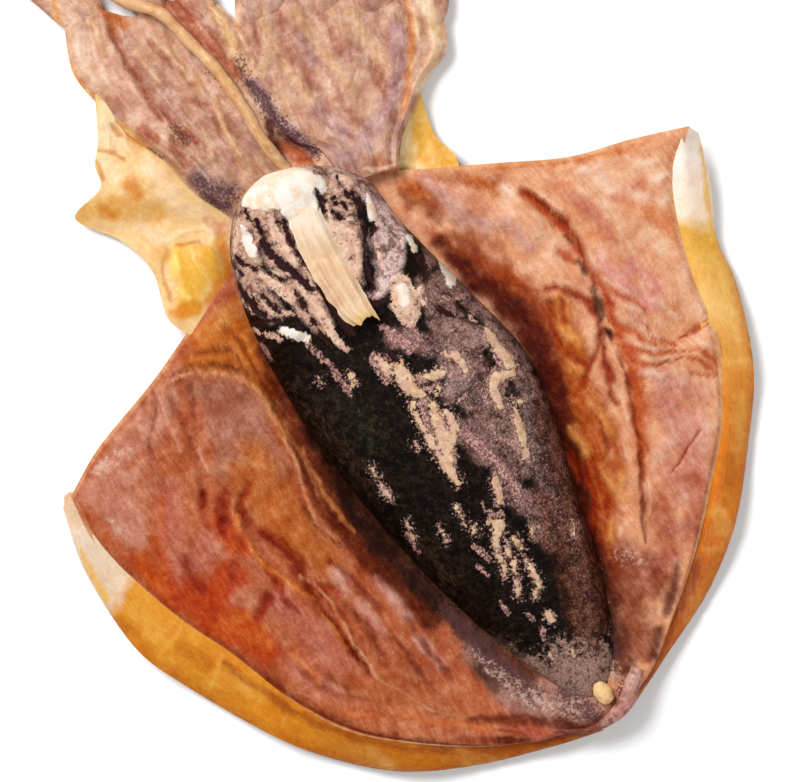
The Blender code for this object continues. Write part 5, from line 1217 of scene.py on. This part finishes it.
def flesh(name, streaks, streak_size, mottle, grain, relief, gloss, glow, gleam, specks=True):
    """Cured flesh: painted colour with mottling, fibres along the flow, specks and a leathery grain."""
    material, tree, shader, own = start_material(name)
    colour = read(tree, "colour", 0)
    flow = read(tree, "flow", 1)
    fibres = noise(tree, flow, (streak_size[0], streak_size[1], 1.0), 4, 0.65)
    broad = noise(tree, own, 4.5, 4, 0.6)
    middle = noise(tree, own, 1.5, 4, 0.65)
    fine = noise(tree, own, grain, 4, 0.7)
    shade = ramp(tree, fibres, 0.25, 0.75, 1 - streaks, 1 + streaks)
    for pattern, depth in ((broad, mottle), (middle, mottle * 0.6), (fine, 0.09)):
        shade = plus(tree, shade, ramp(tree, pattern, 0.25, 0.75, -depth, depth))
    shade = reckon(tree, "MAXIMUM", shade, 0.05)
    power = ramp(tree, shade, 0.2, 1.8, 1.72, 0.58)
    colour = add(tree, "ShaderNodeGamma", {0: colour, 1: power}).outputs[0]
    blush = ramp(tree, noise(tree, own, 2.6, 4, 0.65), 0.4, 0.7, 0.0, 0.3)
    colour = mix(tree, blush, colour, BLUSH, "MULTIPLY")
    for marks, size, detail, rough, gain, high, most, tint in SPECKS if specks else ():
        dots = noise(tree, own, size, detail, rough)
        dots = plus(tree, dots, times(tree, read(tree, marks), gain))
        colour = mix(tree, ramp(tree, dots, 0.66, high, 0, most), colour, tint)
    tree.links.new(colour, shader.inputs["Base Color"])
    shine = ramp(tree, plus(tree, fine, middle), 0.7, 1.3, gloss + 0.15, gloss - 0.1)
    tree.links.new(shine, shader.inputs["Roughness"])
    height = plus(tree, times(tree, fibres, 0.5), times(tree, fine, 0.35))
    height = plus(tree, height, times(tree, middle, 1.2))
    tree.links.new(bump(tree, height, relief), shader.inputs["Normal"])
    shader.inputs["Subsurface Weight"].default_value = glow
    shader.inputs["Subsurface Radius"].default_value = (1.0, 0.35, 0.15)
    shader.inputs["Subsurface Scale"].default_value = 1.5 * MM
    shader.inputs["Specular IOR Level"].default_value = gleam
    return material


def make_mantle():
    """The two leathery lobes."""
    kept = {}

    def over(x, y, u, v):
        flow = np.column_stack([x + 1.5 * ripples(x / 9, y / 9, 5), y, np.zeros(x.shape)]) * MM
        wobble = 0.45 * ripples(x / 2.6, y / 2.6, 31)
        cloud = ripples(x / 9, y / 9, 37)
        right = ease(-8, 8, x)[:, None]
        colours = LEFT_FLESH * (1 - right) + RIGHT_FLESH * right
        colours = lay(colours, (RUST, 0.4 * ease(0.1, 0.9, cloud) * (1 - 0.6 * right[:, 0])),
                      (DUSTY_PINK, 0.5 * ease(0.1, 0.9, -cloud)))
        colours, painted = coat(x, y, MANTLE_PAINT, colours, wobble)
        rim = np.minimum(u * MANTLE_SPAN, (1 - u) * MANTLE_SPAN)
        neck = v * MANTLE_LENGTH
        tail = (1 - v) * MANTLE_LENGTH
        low_side = 0.3 * ease(22, -6, y) + 0.6 * ease(-18, -42, y) * ease(4, -4, x)
        low_side = low_side + 0.15 * ease(4, -4, x)
        lip = np.where(x > 0, ease(1.6, 1.0, rim), ease(0.8, 0.4, rim))
        kept["flow"] = flow
        kept["colours"] = lay(
            colours, (EDGE_LINE, (ease(2.0, 1.4, rim) - ease(1.1, 0.6, rim)) * low_side),
            (LIP, 0.8 * lip * ease(2, 8, neck)), (LIP, 0.6 * ease(1.0, 0.4, neck)),
            (EDGE_LINE, 0.8 * ease(1.4, 0.4, tail)))
        border = np.minimum(np.minimum(rim, neck), tail)
        soft = 0.34 * ripples(x / 5.5, y / 7.5, 3) + 0.2 * ripples(x / 2.2, y / 2.8, 23)
        soft += 0.2 * ripples(x / 1.7, y / 8, 27) * ease(20, -10, x)
        fan = 0.12 * ripples((x - y) / 12, (x + y) / 1.8, 17) * ease(0, 20, y) * ease(10, 20, x)
        skin = mantle_over(x, y, ease(0, 3, border))
        return np.maximum(skin + (soft + fan + 1.6 * painted) * ease(0.2, 4, border),
                          mantle_under(x, y) + THINNEST_SKIN)

    piece, x, y, u, v = sheet("mantle", between(LEFT_RIM, RIGHT_RIM, NECK_EDGE, TAIL_EDGE),
                              lambda x, y, u, v: mantle_under(x, y), over, MANTLE_GRID)
    bone = np.hypot(x / BONE_SIZE[0], (y - BONE_CENTRE) / BONE_SIZE[1])
    back = lay(np.tile(BACK_SKIN, (len(x), 1)), (BACK_PALE, 0.8 * ease(1.05, 0.95, bone)),
               (BACK_DARK, 0.6 * ease(0.1, 0.6, ripples(x / 4, y / 4, 41))))
    paint(piece, "colour", np.vstack([back, kept["colours"]]))
    paint(piece, "flow", np.vstack([kept["flow"], kept["flow"]]))
    paint_specks(piece, x, y, 2)
    smooth(piece)
    hand_in(piece, flesh("mantle_flesh", *MANTLE_FINISH))


def banded(v, bands):
    """Colours between those of a list of shares and colours."""
    stops = [stop for stop, _ in bands]
    tones = np.array([tone(*colour) for _, colour in bands])
    return np.column_stack([np.interp(v, stops, tones[:, channel]) for channel in range(3)])


def make_fin(name, rim, outer, waves, bands, material):
    """An amber fin; bands give its colour from the head end to the tail."""
    root = [(x * FIN_ROOT, y * FIN_ROOT) for x, y in rim]
    flat = across(root, outer)

    def place(u, v):
        spots = flat(u, v)
        spots[:, 1] += FIN_CORNER * ease(0.03, 0, v) * ease(0.2, 0.5, u) * ease(1.0, 0.7, u)
        return spots

    def middle(x, y, u, v):
        root_height = mantle_under(x, y) + 0.42 * SKIN_AT_RIM
        wave = FIN_WAVE * np.sin(waves * np.pi * v)
        crimp = 0.2 * ripples(v * 60, u * 2, 51) * ease(0.3, 0.8, u)
        raised = coat(x, y, FIN_PAINT, np.zeros((len(x), 3)), 0)[1]
        height = root_height + (FIN_EDGE_HEIGHT + wave - root_height) * ease(0.32, 1.15, u)
        return height + crimp + raised * 0.6

    def half_thick(u):
        return FIN_THICK / 2 * (1 - 0.45 * ease(0.9, 1.0, u))

    piece, x, y, u, v = slab(name, place, middle, half_thick, FIN_GRID)
    colours = banded(v + 0.01 * ripples(v * 40, u * 3, 53), bands)
    colours = lay(colours, (AMBER_DARK, 0.5 * ease(0.75, 0.95, u) * ease(0.12, 0.3, v)),
                  (FIN_PALE, 0.35 * ease(0.35, 0.9, ripples(v * 24, u * 1.2, 57))))
    colours = coat(x, y, FIN_PAINT, colours, 0.4 * ripples(x / 2, y / 2, 59))[0]
    paint_sheet(piece, colours, u, v, 12, 150)
    smooth(piece)
    hand_in(piece, material)


def dome(x, y, place, size):
    """How far inside a round dome each place lies: 1 at its middle, 0 at its foot, less outside."""
    return 1 - ((x - place[0]) / size[0]) ** 2 - ((y - place[1]) / size[1]) ** 2


def bumped_mound(x, y):
    """Height of the mound with its knob and lumps."""
    swell = dome(x, y, KNOB_PLACE, KNOB_SIZE)
    knob = np.where(swell > 0, KNOB_PLACE[2] + KNOB_SIZE[2] * np.sqrt(np.maximum(swell, 0)), 0)
    height = np.maximum(mound_over(x, y), knob)
    for place, size in LUMPS:
        height += size[2] * LUMP_RISE * np.sqrt(np.maximum(dome(x, y, place, size), 0))
    return height


def make_mound():
    """The ink-coated innards with the knob, the lumps and the flakes."""
    piece = start_piece("ink_mound", bpy.ops.mesh.primitive_uv_sphere_add, radius=1,
                        segments=MOUND_RINGS[0], ring_count=MOUND_RINGS[1])
    unit = vertices_of(piece)
    turned = np.arccos(np.clip(-unit[:, 2], -1, 1)) / np.pi
    gone = RINGS_BY_HEIGHT * (1 + unit[:, 2]) / 2 + (1 - RINGS_BY_HEIGHT) * turned
    y = MOUND_TAIL + (MOUND_HEAD - MOUND_TAIL) * gone
    across_share = np.hypot(unit[:, 0], unit[:, 1])
    ring = np.maximum(across_share, 1e-6)
    cosine, sine = unit[:, 0] / ring, unit[:, 1] / ring
    pole = across_share < 1e-5
    left, right = level(MOUND_LEFT, y), level(MOUND_RIGHT, y)
    x = (left + right) / 2 + (right - left) / 2 * np.sign(cosine) * np.abs(cosine) ** SHOULDER_ROUND
    x = np.where(pole, (left + right) / 2, x)
    foot = mound_foot(x, y)
    wobble = 0.5 * ripples(x / 2.2, y / 2.2, 71)
    colours, painted = coat(x, y, MOUND_PAINT, np.tile(INK_BLACK, (len(x), 1)), wobble)
    masks = {name: inside(x, y, strokes) for name, strokes, *_ in MOUND_MASKS}
    relief = 0.22 * ripples(x / 3, y / 6, 61) + 0.12 * ripples(x / 0.9, y / 2.2, 67) + painted
    for name, _, height, low, high in MOUND_MASKS:
        relief += height * ease(low, high, masks[name])
    up = np.where(sine > 0, bumped_mound(x, y) - foot + relief * ease(0.05, 0.35, np.abs(sine)), 0.0)
    up -= pit(x, y, STRAP_PIT) * (sine > 0)
    sink = np.where(sine < 0, MOUND_BELLY * np.abs(sine) ** 0.5, 0.0)
    write_places(piece, np.column_stack([x, y, foot + np.where(pole, MOUND_POLE, up - sink)]))
    for name, values in masks.items():
        paint(piece, name, values)
    paint(piece, "colour", colours)
    paint(piece, "tail", ease(-36, -57, y + 0.5 * x + 4 * ripples(x / 5, y / 5, 79)))
    paint(piece, "flow", np.column_stack([x, y, np.zeros(len(x))]) * MM)
    smooth(piece, 80)
    hand_in(piece, ink_skin())


def ink_skin():
    """Ink-coated skin: soft painted colours under torn flakes, bare flesh, streaks and specks."""
    material, tree, shader, own = start_material("ink_skin")
    painted = read(tree, "colour", 0)
    ragged = reckon(tree, "SUBTRACT", noise(tree, own, 0.75, 4, 0.75), 0.5)
    frayed = reckon(tree, "SUBTRACT", noise(tree, own, 2.4, 3, 0.6), 0.5)
    tear = plus(tree, times(tree, ragged, 2.6), times(tree, frayed, 2.6))
    fibres = noise(tree, read(tree, "flow", 1), (0.3, 1.8, 1.0), 4, 0.7)
    fine = noise(tree, own, 0.32, 4, 0.75)
    middle = noise(tree, own, 1.3, 4, 0.65)
    grains = noise(tree, own, 0.5, 5, 0.85)
    light = add(tree, "ShaderNodeRGBToBW", {0: painted}).outputs[0]

    def torn(name, width=0.1, shift=0.0, share=1.0):
        edge = plus(tree, read(tree, name), times(tree, tear, share))
        return ramp(tree, plus(tree, edge, shift), -width, width)

    shade = plus(tree, ramp(tree, fine, 0.3, 0.7, 0.7, 1.3), ramp(tree, middle, 0.3, 0.7, -0.4, 0.4))
    shade = plus(tree, shade, ramp(tree, fibres, 0.3, 0.7, -0.2, 0.2))
    power = ramp(tree, shade, 0.4, 1.6, 1.35, 0.7)
    colour = add(tree, "ShaderNodeGamma", {0: painted, 1: power}).outputs[0]
    soot = ramp(tree, plus(tree, middle, times(tree, ragged, 0.5)), 0.56, 0.64, 0.0, 0.6)
    colour = mix(tree, soot, colour, INK_SOOT)
    cloudy = ramp(tree, noise(tree, own, 2.4, 5, 0.7), 0.45, 0.6, 0.0, 0.8)
    colour = mix(tree, cloudy, colour, CLOUD_BROWN, "MULTIPLY")
    dark_grains = times(tree, ramp(tree, light, 0.03, 0.1), ramp(tree, grains, 0.4, 0.46, 0.6, 0.0))
    pale_grains = times(tree, ramp(tree, light, 0.015, 0.08), ramp(tree, grains, 0.55, 0.62, 0.0, 0.7))
    bare = mix(tree, ramp(tree, middle, 0.35, 0.65), FLESH_PINK, FLESH_CREAM)
    grit = ramp(tree, plus(tree, ragged, times(tree, frayed, 0.8)), 0.06, 0.16, 0.0, 0.75)
    bare = mix(tree, grit, bare, INK_PLUM)
    rosy = mix(tree, ramp(tree, grains, 0.46, 0.56), ROSY_DARK, ROSY_PALE)
    pitted = times(tree, torn("pink"), ramp(tree, ragged, -0.1, 0.02, 0.2, 1.0))
    near = times(tree, ramp(tree, read(tree, "cream"), -2.6, 0.2), 0.17)
    crumbs = ramp(tree, plus(tree, noise(tree, own, 0.7, 4, 0.8), near), 0.68, 0.74, 0.0, 0.9)
    flake = mix(tree, ramp(tree, middle, 0.35, 0.65), FLAKE_CREAM, FLAKE_TAN)
    flake = mix(tree, ramp(tree, noise(tree, own, 2.8, 3, 0.6), 0.5, 0.62, 0.0, 0.75), flake, ROSY_PALE)
    flake = mix(tree, ramp(tree, noise(tree, own, 0.8, 5, 0.9), 0.58, 0.64, 0.0, 0.85), flake, FLAKE_EDGE)
    # Cream of the knob and lumps, which also carries the painted glints on the lumps
    bright = mix(tree, ramp(tree, noise(tree, own, 3.0, 4, 0.6), 0.42, 0.66), KNOB_CREAM, KNOB_TAN)
    dusty = plus(tree, times(tree, read(tree, "tail"), 0.34), noise(tree, own, 1.4, 6, 0.85))
    frost = mix(tree, ramp(tree, fine, 0.4, 0.6), FROST_PALE, FROST_GREY)
    for share, tint in ((dark_grains, INK_PLUM), (pale_grains, GRAIN_PALE), (torn("bare"), bare),
                        (pitted, rosy), (crumbs, ROSY_PALE), (torn("cream", 0.16, 0.12), FLAKE_EDGE),
                        (torn("cream"), flake), (torn("bright", 0.16, 0.0, 0.7), bright),
                        (torn("ink", 0.12, 0.0, 0.8), INK_PLUM),
                        (ramp(tree, dusty, 0.78, 0.86, 0.0, 0.8), frost)):
        colour = mix(tree, share, colour, tint)
    tree.links.new(colour, shader.inputs["Base Color"])
    tree.links.new(ramp(tree, fine, 0.3, 0.7, 0.55, 0.32), shader.inputs["Roughness"])
    height = plus(tree, times(tree, fine, 0.6), times(tree, middle, 1.0))
    height = plus(tree, height, times(tree, torn("cream"), 0.6))
    height = reckon(tree, "SUBTRACT", height, times(tree, torn("ink", 0.3), 0.6))
    tree.links.new(bump(tree, height, 0.28), shader.inputs["Normal"])
    shader.inputs["Specular IOR Level"].default_value = 0.06
    return material


def make_strap():
    """The ribbed cream strap that hangs from the knob."""
    def over(x, y, u, v):
        ribs = STRAP_RIB * 0.5 * np.cos(STRAP_WAVES * np.pi * (u - 0.5)) * ease(0.1, 0.4, v)
        edge = ease(0, 0.25, np.minimum(u, 1 - u))
        fray = 0.15 * ripples(u * 9, v * 7, 91)
        end = 0.9 * ease(0.82, 1.0, v) * ease(0.2, 0.9, u)
        raised = STRAP_HEIGHT * (0.2 + 0.5 * edge) * ease(0.3, 0.6, v)
        root = bumped_mound(x, y) - mound_over(x, y) + 0.9 * edge + 0.2
        root = root * ease(0.6, 0.25, v) * ease(-0.08, 0.1, v)
        height = mound_over(x, y) + np.maximum(raised, root)
        return height + (ribs + fray) * edge * ease(0, 0.1, v) + end - 0.4 * ease(0.07, 0, v)

    def under(x, y, u, v):
        return mound_over(x, y) - STRAP_SUNK + 1.6 * ease(0.8, 0.95, v)

    place = across(STRAP_LEFT, STRAP_RIGHT)

    def ragged(u, v):
        flat = place(u, v)
        flat[:, 1] += 1.1 * ripples(u * 5, v * 2, 93) * ease(0.88, 1.0, v)
        flat[:, 0] += 0.28 * ripples(v * 12, u * 2, 95) * ease(0.7, 1.0, np.abs(2 * u - 1))
        return flat

    piece, x, y, u, v = sheet("strap", ragged, under, over, STRAP_GRID)
    # Painted shade in the grooves between the ribs
    grooves = ease(-0.1, 0.9, -np.cos(STRAP_WAVES * np.pi * (u - 0.5))) * 0.45 * ease(0.1, 0.35, v)
    patches = 0.5 * ease(0.1, 0.7, ripples(u * 4, v * 9, 97)) * ease(0.15, 0.4, v)
    colours = lay(np.tile(STRAP_CREAM, (len(x), 1)), (STRAP_GROOVE_SHADE, grooves),
                  (STRAP_ROOT, ease(0.4, 0.1, v)), (STRAP_PINK, patches),
                  (STRAP_END, 0.7 * ease(0.9, 1.0, v)))
    paint_sheet(piece, colours, u, v, 7, 28)
    smooth(piece)
    hand_in(piece, flesh("strap_skin", *STRAP_FINISH))


def head_colours(x, y, base, seed):
    """Colours of the opened head and its arms."""
    colours = lay(np.tile(base, (len(x), 1)),
                  (HEAD_BROWN, 0.6 * ease(0.0, 0.7, ripples(x / 2.2, y / 8, seed))),
                  (HEAD_LILAC, 0.5 * ease(0.1, 0.7, ripples(x / 4, y / 6, seed + 7))))
    return coat(x, y, HEAD_PAINT, colours, 0.45 * ripples(x / 2.2, y / 3.0, seed + 3))


def make_head_half(name, edges, heights, arms, seed, base):
    """One opened half of the head, with a ridge for each arm, tucked under the lip of the mantle."""
    kept = {}

    def under(x, y, u, v):
        return HALF_LIFT + HALF_LIFT / 3 * np.sin(0.19 * x + 0.13 * y + 2 * heights[0])

    def over(x, y, u, v):
        border = ease(0, 0.08, np.minimum(u, 1 - u))
        ridges = HALF_RIDGE * np.cos(2 * np.pi * arms * (u - 0.5))
        height = heights[1] + (heights[0] - heights[1]) * ease(0, 0.8, v)
        kept["colours"], painted = head_colours(x, y, base, seed)
        creases = 0.3 * ripples(u * 14, v * 5, seed) + 0.2 * ripples(x / 2.4, y / 2.4, seed + 9)
        creases = creases + 1.8 * painted
        body = height - HALF_EDGE + ridges - pit(x, y, THROAT_PIT)
        top = HALF_EDGE + body * (0.45 + 0.55 * border) + creases * border
        top = HALF_FRONT + (top - HALF_FRONT) * (0.5 + 0.5 * ease(0, 0.07, v))
        lowered = np.minimum(top, mantle_over(x, y, np.ones(len(x))) - LIP_COVER)
        return top + (lowered - top) * ease(-0.2, 0.7, level(NECK_EDGE, x) - y)

    piece, x, y, u, v = sheet(name, between(*edges), under, over, HALF_GRID)
    paint_sheet(piece, kept["colours"], u, v, 32, 52)
    paint_specks(piece, x, y, 2)
    smooth(piece)
    hand_in(piece, flesh(name + "_flesh", *HEAD_FINISH))


def make_collar(name, inner, outer, waves, seed, base, material):
    """Thin golden skin beside the neck."""
    def middle(x, y, u, v):
        wave = COLLAR_WAVE * np.sin(waves * np.pi * v + 2.5 * u)
        raised = coat(x, y, COLLAR_PAINT, np.zeros((len(x), 3)), 0)[1]
        height = COLLAR_HEIGHT + wave * ease(0, 0.5, u) + 0.35 * ripples(x / 4, y / 4, seed) + raised
        joined = mantle_under(x, y) + 0.5 * SKIN_BY_BODY
        return height + (joined - height) * ease(0.72, 0.92, v)

    piece, x, y, u, v = slab(name, across(inner, outer), middle, lambda u: COLLAR_THICK / 2,
                             COLLAR_GRID)
    wobble = 0.5 * ripples(x / 2.5, y / 2.5, seed + 1)
    colours = coat(x, y, COLLAR_PAINT, np.tile(base, (len(x), 1)), wobble)[0]
    paint_sheet(piece, colours, u, v, 16, 50)
    smooth(piece)
    hand_in(piece, material)


def make_arms(material):
    """The arms that go on from the halves of the head."""
    for number, (line, width, curl) in enumerate(ARMS):
        points = [(x, y, ARM_RISE + curl * (k / 3) ** 3) for k, (x, y) in enumerate(line)]

        def radius(share, width=width):
            taper = 1 + (ARM_TIP - 1) * ease(0.1, 1.05, share)
            return width / 2 * taper * (0.5 + 0.5 * ease(0, 0.22, share))

        piece = strand("arm_%d" % number, points, radius, ARM_RINGS, ARM_FLATTENED, 9)
        x, y, z = (vertices_of(piece) / MM).T
        base, seed = (LEFT_HEAD_FLESH, LEFT_SEED) if number < 4 else (RIGHT_HEAD_FLESH, RIGHT_SEED)
        colours, painted = head_colours(x, y, base, seed)
        signed, share = beside(x, y, line)
        colours = lay(colours, (ARM_END, 0.8 * ease(0.6, 1.0, share)),
                      (ARM_SIDE, 0.5 * ease(0.5, 0.9, np.abs(signed) / width)))
        lift = (0.14 * ripples(x / 1.4, y / 1.4, 101 + number) + painted) * ease(1.2, 2.4, z)
        write_places(piece, np.column_stack([x, y, z + lift]))
        paint(piece, "colour", colours)
        paint(piece, "flow", np.column_stack([signed, share * 35, z]) * MM)
        paint_specks(piece, x, y)
        smooth(piece, 70)
        hand_in(piece, material)


def make_strand(name, points, radius, samples, tones, seed, material, fade=0.0):
    """A round strand mottled in a base, a dark and a light tone; fade darkens its start."""
    base, dark, light = tones
    piece = strand(name, points, radius, samples, sides=8)
    x, y, z = (vertices_of(piece) / MM).T
    signed, share = beside(x, y, [p[:2] for p in points])
    colours = lay(np.tile(base, (len(x), 1)),
                  (dark, 0.7 * ease(0.1, 0.7, ripples(share * 22, signed / 1.2, seed))),
                  (light, 0.7 * ease(0.1, 0.7, ripples(share * 30, signed / 1.2, seed + 5))),
                  (dark, fade * ease(0.6, 0.3, share)))
    paint(piece, "colour", colours)
    write_places(piece, np.column_stack([x, y, z + 0.2 * ripples(x / 1.3, y / 1.3, seed + 9)]))
    paint(piece, "flow", np.column_stack([signed, share * 90, z]) * MM)
    for specks, shift in (("dark_specks", 2), ("pale_specks", 3)):
        paint(piece, specks, ease(0.3, 1.0, ripples(x / 3, y / 3, seed + shift)))
    smooth(piece, 70)
    hand_in(piece, material)


def tentacle_radius(share):
    """Half thickness along the tentacle, from its club to its root."""
    radius = TENTACLE_RADIUS + (CLUB_RADIUS - TENTACLE_RADIUS) * (1 - ease(0.16, 0.4, share))
    return radius * (0.4 + 0.6 * ease(0, 0.06, share)) + 0.08 * math.sin(70 * share)


def lip_radius(share):
    """Half thickness along the rolled lip of the tail, thin at its start."""
    radius = TAIL_LIP_RADIUS * (0.35 + 0.75 * ease(0.2, 0.75, share))
    return radius * (1 - 0.3 * ease(0.85, 1.0, share))


def make_bead(material):
    """The yellow bead at the tail."""
    piece = start_piece("tail_bead", bpy.ops.mesh.primitive_uv_sphere_add, radius=1,
                        segments=BEAD_RINGS[0], ring_count=BEAD_RINGS[1])
    unit = vertices_of(piece)
    lumps = 1 + 0.16 * ripples(unit[:, 0] * 1.6 + unit[:, 2], unit[:, 1] * 1.6, 161)
    write_places(piece, unit * lumps[:, None] * BEAD_SIZE + BEAD_PLACE)
    # Painted shade: darker towards the underside of the bead, broken by noise
    shade = ripples(unit[:, 0] * 2, unit[:, 1] * 2, 163) - unit[:, 2] * 0.5
    paint(piece, "colour", lay(np.tile(BEAD_YELLOW, (len(unit), 1)),
                               (BEAD_PAINTED_SHADE, 0.8 * ease(0.0, 0.7, shade))))
    paint(piece, "flow", unit * BEAD_SIZE * MM)
    smooth(piece, 80)
    hand_in(piece, material)


def make_floor():
    """A plain pale floor."""
    floor = start_piece("floor", bpy.ops.mesh.primitive_plane_add, size=FLOOR_SIZE,
                        location=(0, 0, FLOOR_HEIGHT))
    material = bpy.data.materials.new("floor_white")
    material.use_nodes = True
    shader = material.node_tree.nodes["Principled BSDF"]
    shader.inputs["Base Color"].default_value = (0.95, 0.95, 0.95, 1)
    shader.inputs["Roughness"].default_value = 0.9
    shader.inputs["Specular IOR Level"].default_value = 0.0
    floor.data.materials.append(material)


def make_light(name, sideways, upward, spec):
    """A soft square light aimed at the middle of the scene."""
    right, up, height, size, power = spec
    place = sideways * right + upward * up + Vector((0, 0, height))
    lamp = bpy.data.lights.new(name, "AREA")
    lamp.shape = "SQUARE"
    lamp.size = size
    lamp.energy = power
    holder = bpy.data.objects.new(name, lamp)
    bpy.context.scene.collection.objects.link(holder)
    holder.location = place
    holder.rotation_euler = (-Vector(place)).to_track_quat("-Z", "Y").to_euler()


def make_studio():
    """White surroundings, a soft light, and a camera straight above."""
    world = bpy.data.worlds.new("studio")
    bpy.context.scene.world = world
    world.use_nodes = True
    back = world.node_tree.nodes["Background"]
    back.inputs[0].default_value = (1, 1, 1, 1)
    back.inputs[1].default_value = WORLD_LIGHT
    turn = math.radians(CAMERA_TURN)
    upward = Vector((-math.sin(turn), math.cos(turn), 0))
    sideways = Vector((math.cos(turn), math.sin(turn), 0))
    make_light("key_light", sideways, upward, KEY_LIGHT)
    make_light("fill_light", sideways, upward, FILL_LIGHT)
    camera = bpy.data.cameras.new("camera")
    holder = bpy.data.objects.new("camera", camera)
    bpy.context.scene.collection.objects.link(holder)
    holder.location = (CAMERA_CENTRE[0] * MM, CAMERA_CENTRE[1] * MM, CAMERA_HEIGHT)
    holder.rotation_euler = (0, 0, turn)
    camera.sensor_width = SENSOR_WIDTH
    camera.lens = SENSOR_WIDTH * (CAMERA_HEIGHT - CAMERA_FOCUS * MM) / (PICTURE_WIDTH * MM)
    camera.clip_start = 0.01
    bpy.context.scene.camera = holder
    bpy.context.scene.view_settings.view_transform = "Standard"


make_mantle()
fin_material = flesh("fin_skin", *FIN_FINISH)
make_fin("left_fin", LEFT_RIM, LEFT_FIN, 9, LEFT_FIN_BANDS, fin_material)
make_fin("right_fin", RIGHT_RIM, RIGHT_FIN, 7, RIGHT_FIN_BANDS, fin_material)
make_mound()
make_strap()
make_head_half("left_head", (LEFT_HALF_OUTER, LEFT_HALF_INNER, LEFT_HALF_TOP, LEFT_HALF_NECK),
               LEFT_HALF_HEIGHT, 4, LEFT_SEED, LEFT_HEAD_FLESH)
make_head_half("right_head", (RIGHT_HALF_INNER, RIGHT_HALF_OUTER, RIGHT_HALF_TOP, RIGHT_HALF_NECK),
               RIGHT_HALF_HEIGHT, 4, RIGHT_SEED, RIGHT_HEAD_FLESH)
collar_material = flesh("collar_skin", *COLLAR_FINISH)
make_collar("left_collar", LEFT_COLLAR_INNER, LEFT_COLLAR_OUTER, 5, 191, LEFT_COLLAR_FLESH,
            collar_material)
make_collar("right_collar", RIGHT_COLLAR_INNER, RIGHT_COLLAR_OUTER, 2, 195, RIGHT_COLLAR_FLESH,
            collar_material)
make_arms(flesh("arm_flesh", *HEAD_FINISH))
make_strand("tentacle", TENTACLE, tentacle_radius, TENTACLE_RINGS, TENTACLE_TONES, 131,
            flesh("tentacle_skin", *TENTACLE_FINISH))
make_strand("tail_lip", TAIL_LIP, lip_radius, TAIL_LIP_RINGS, TAIL_LIP_TONES, 143,
            flesh("tail_skin", *TAIL_FINISH), 0.85)
make_bead(collar_material)
make_floor()
make_studio()
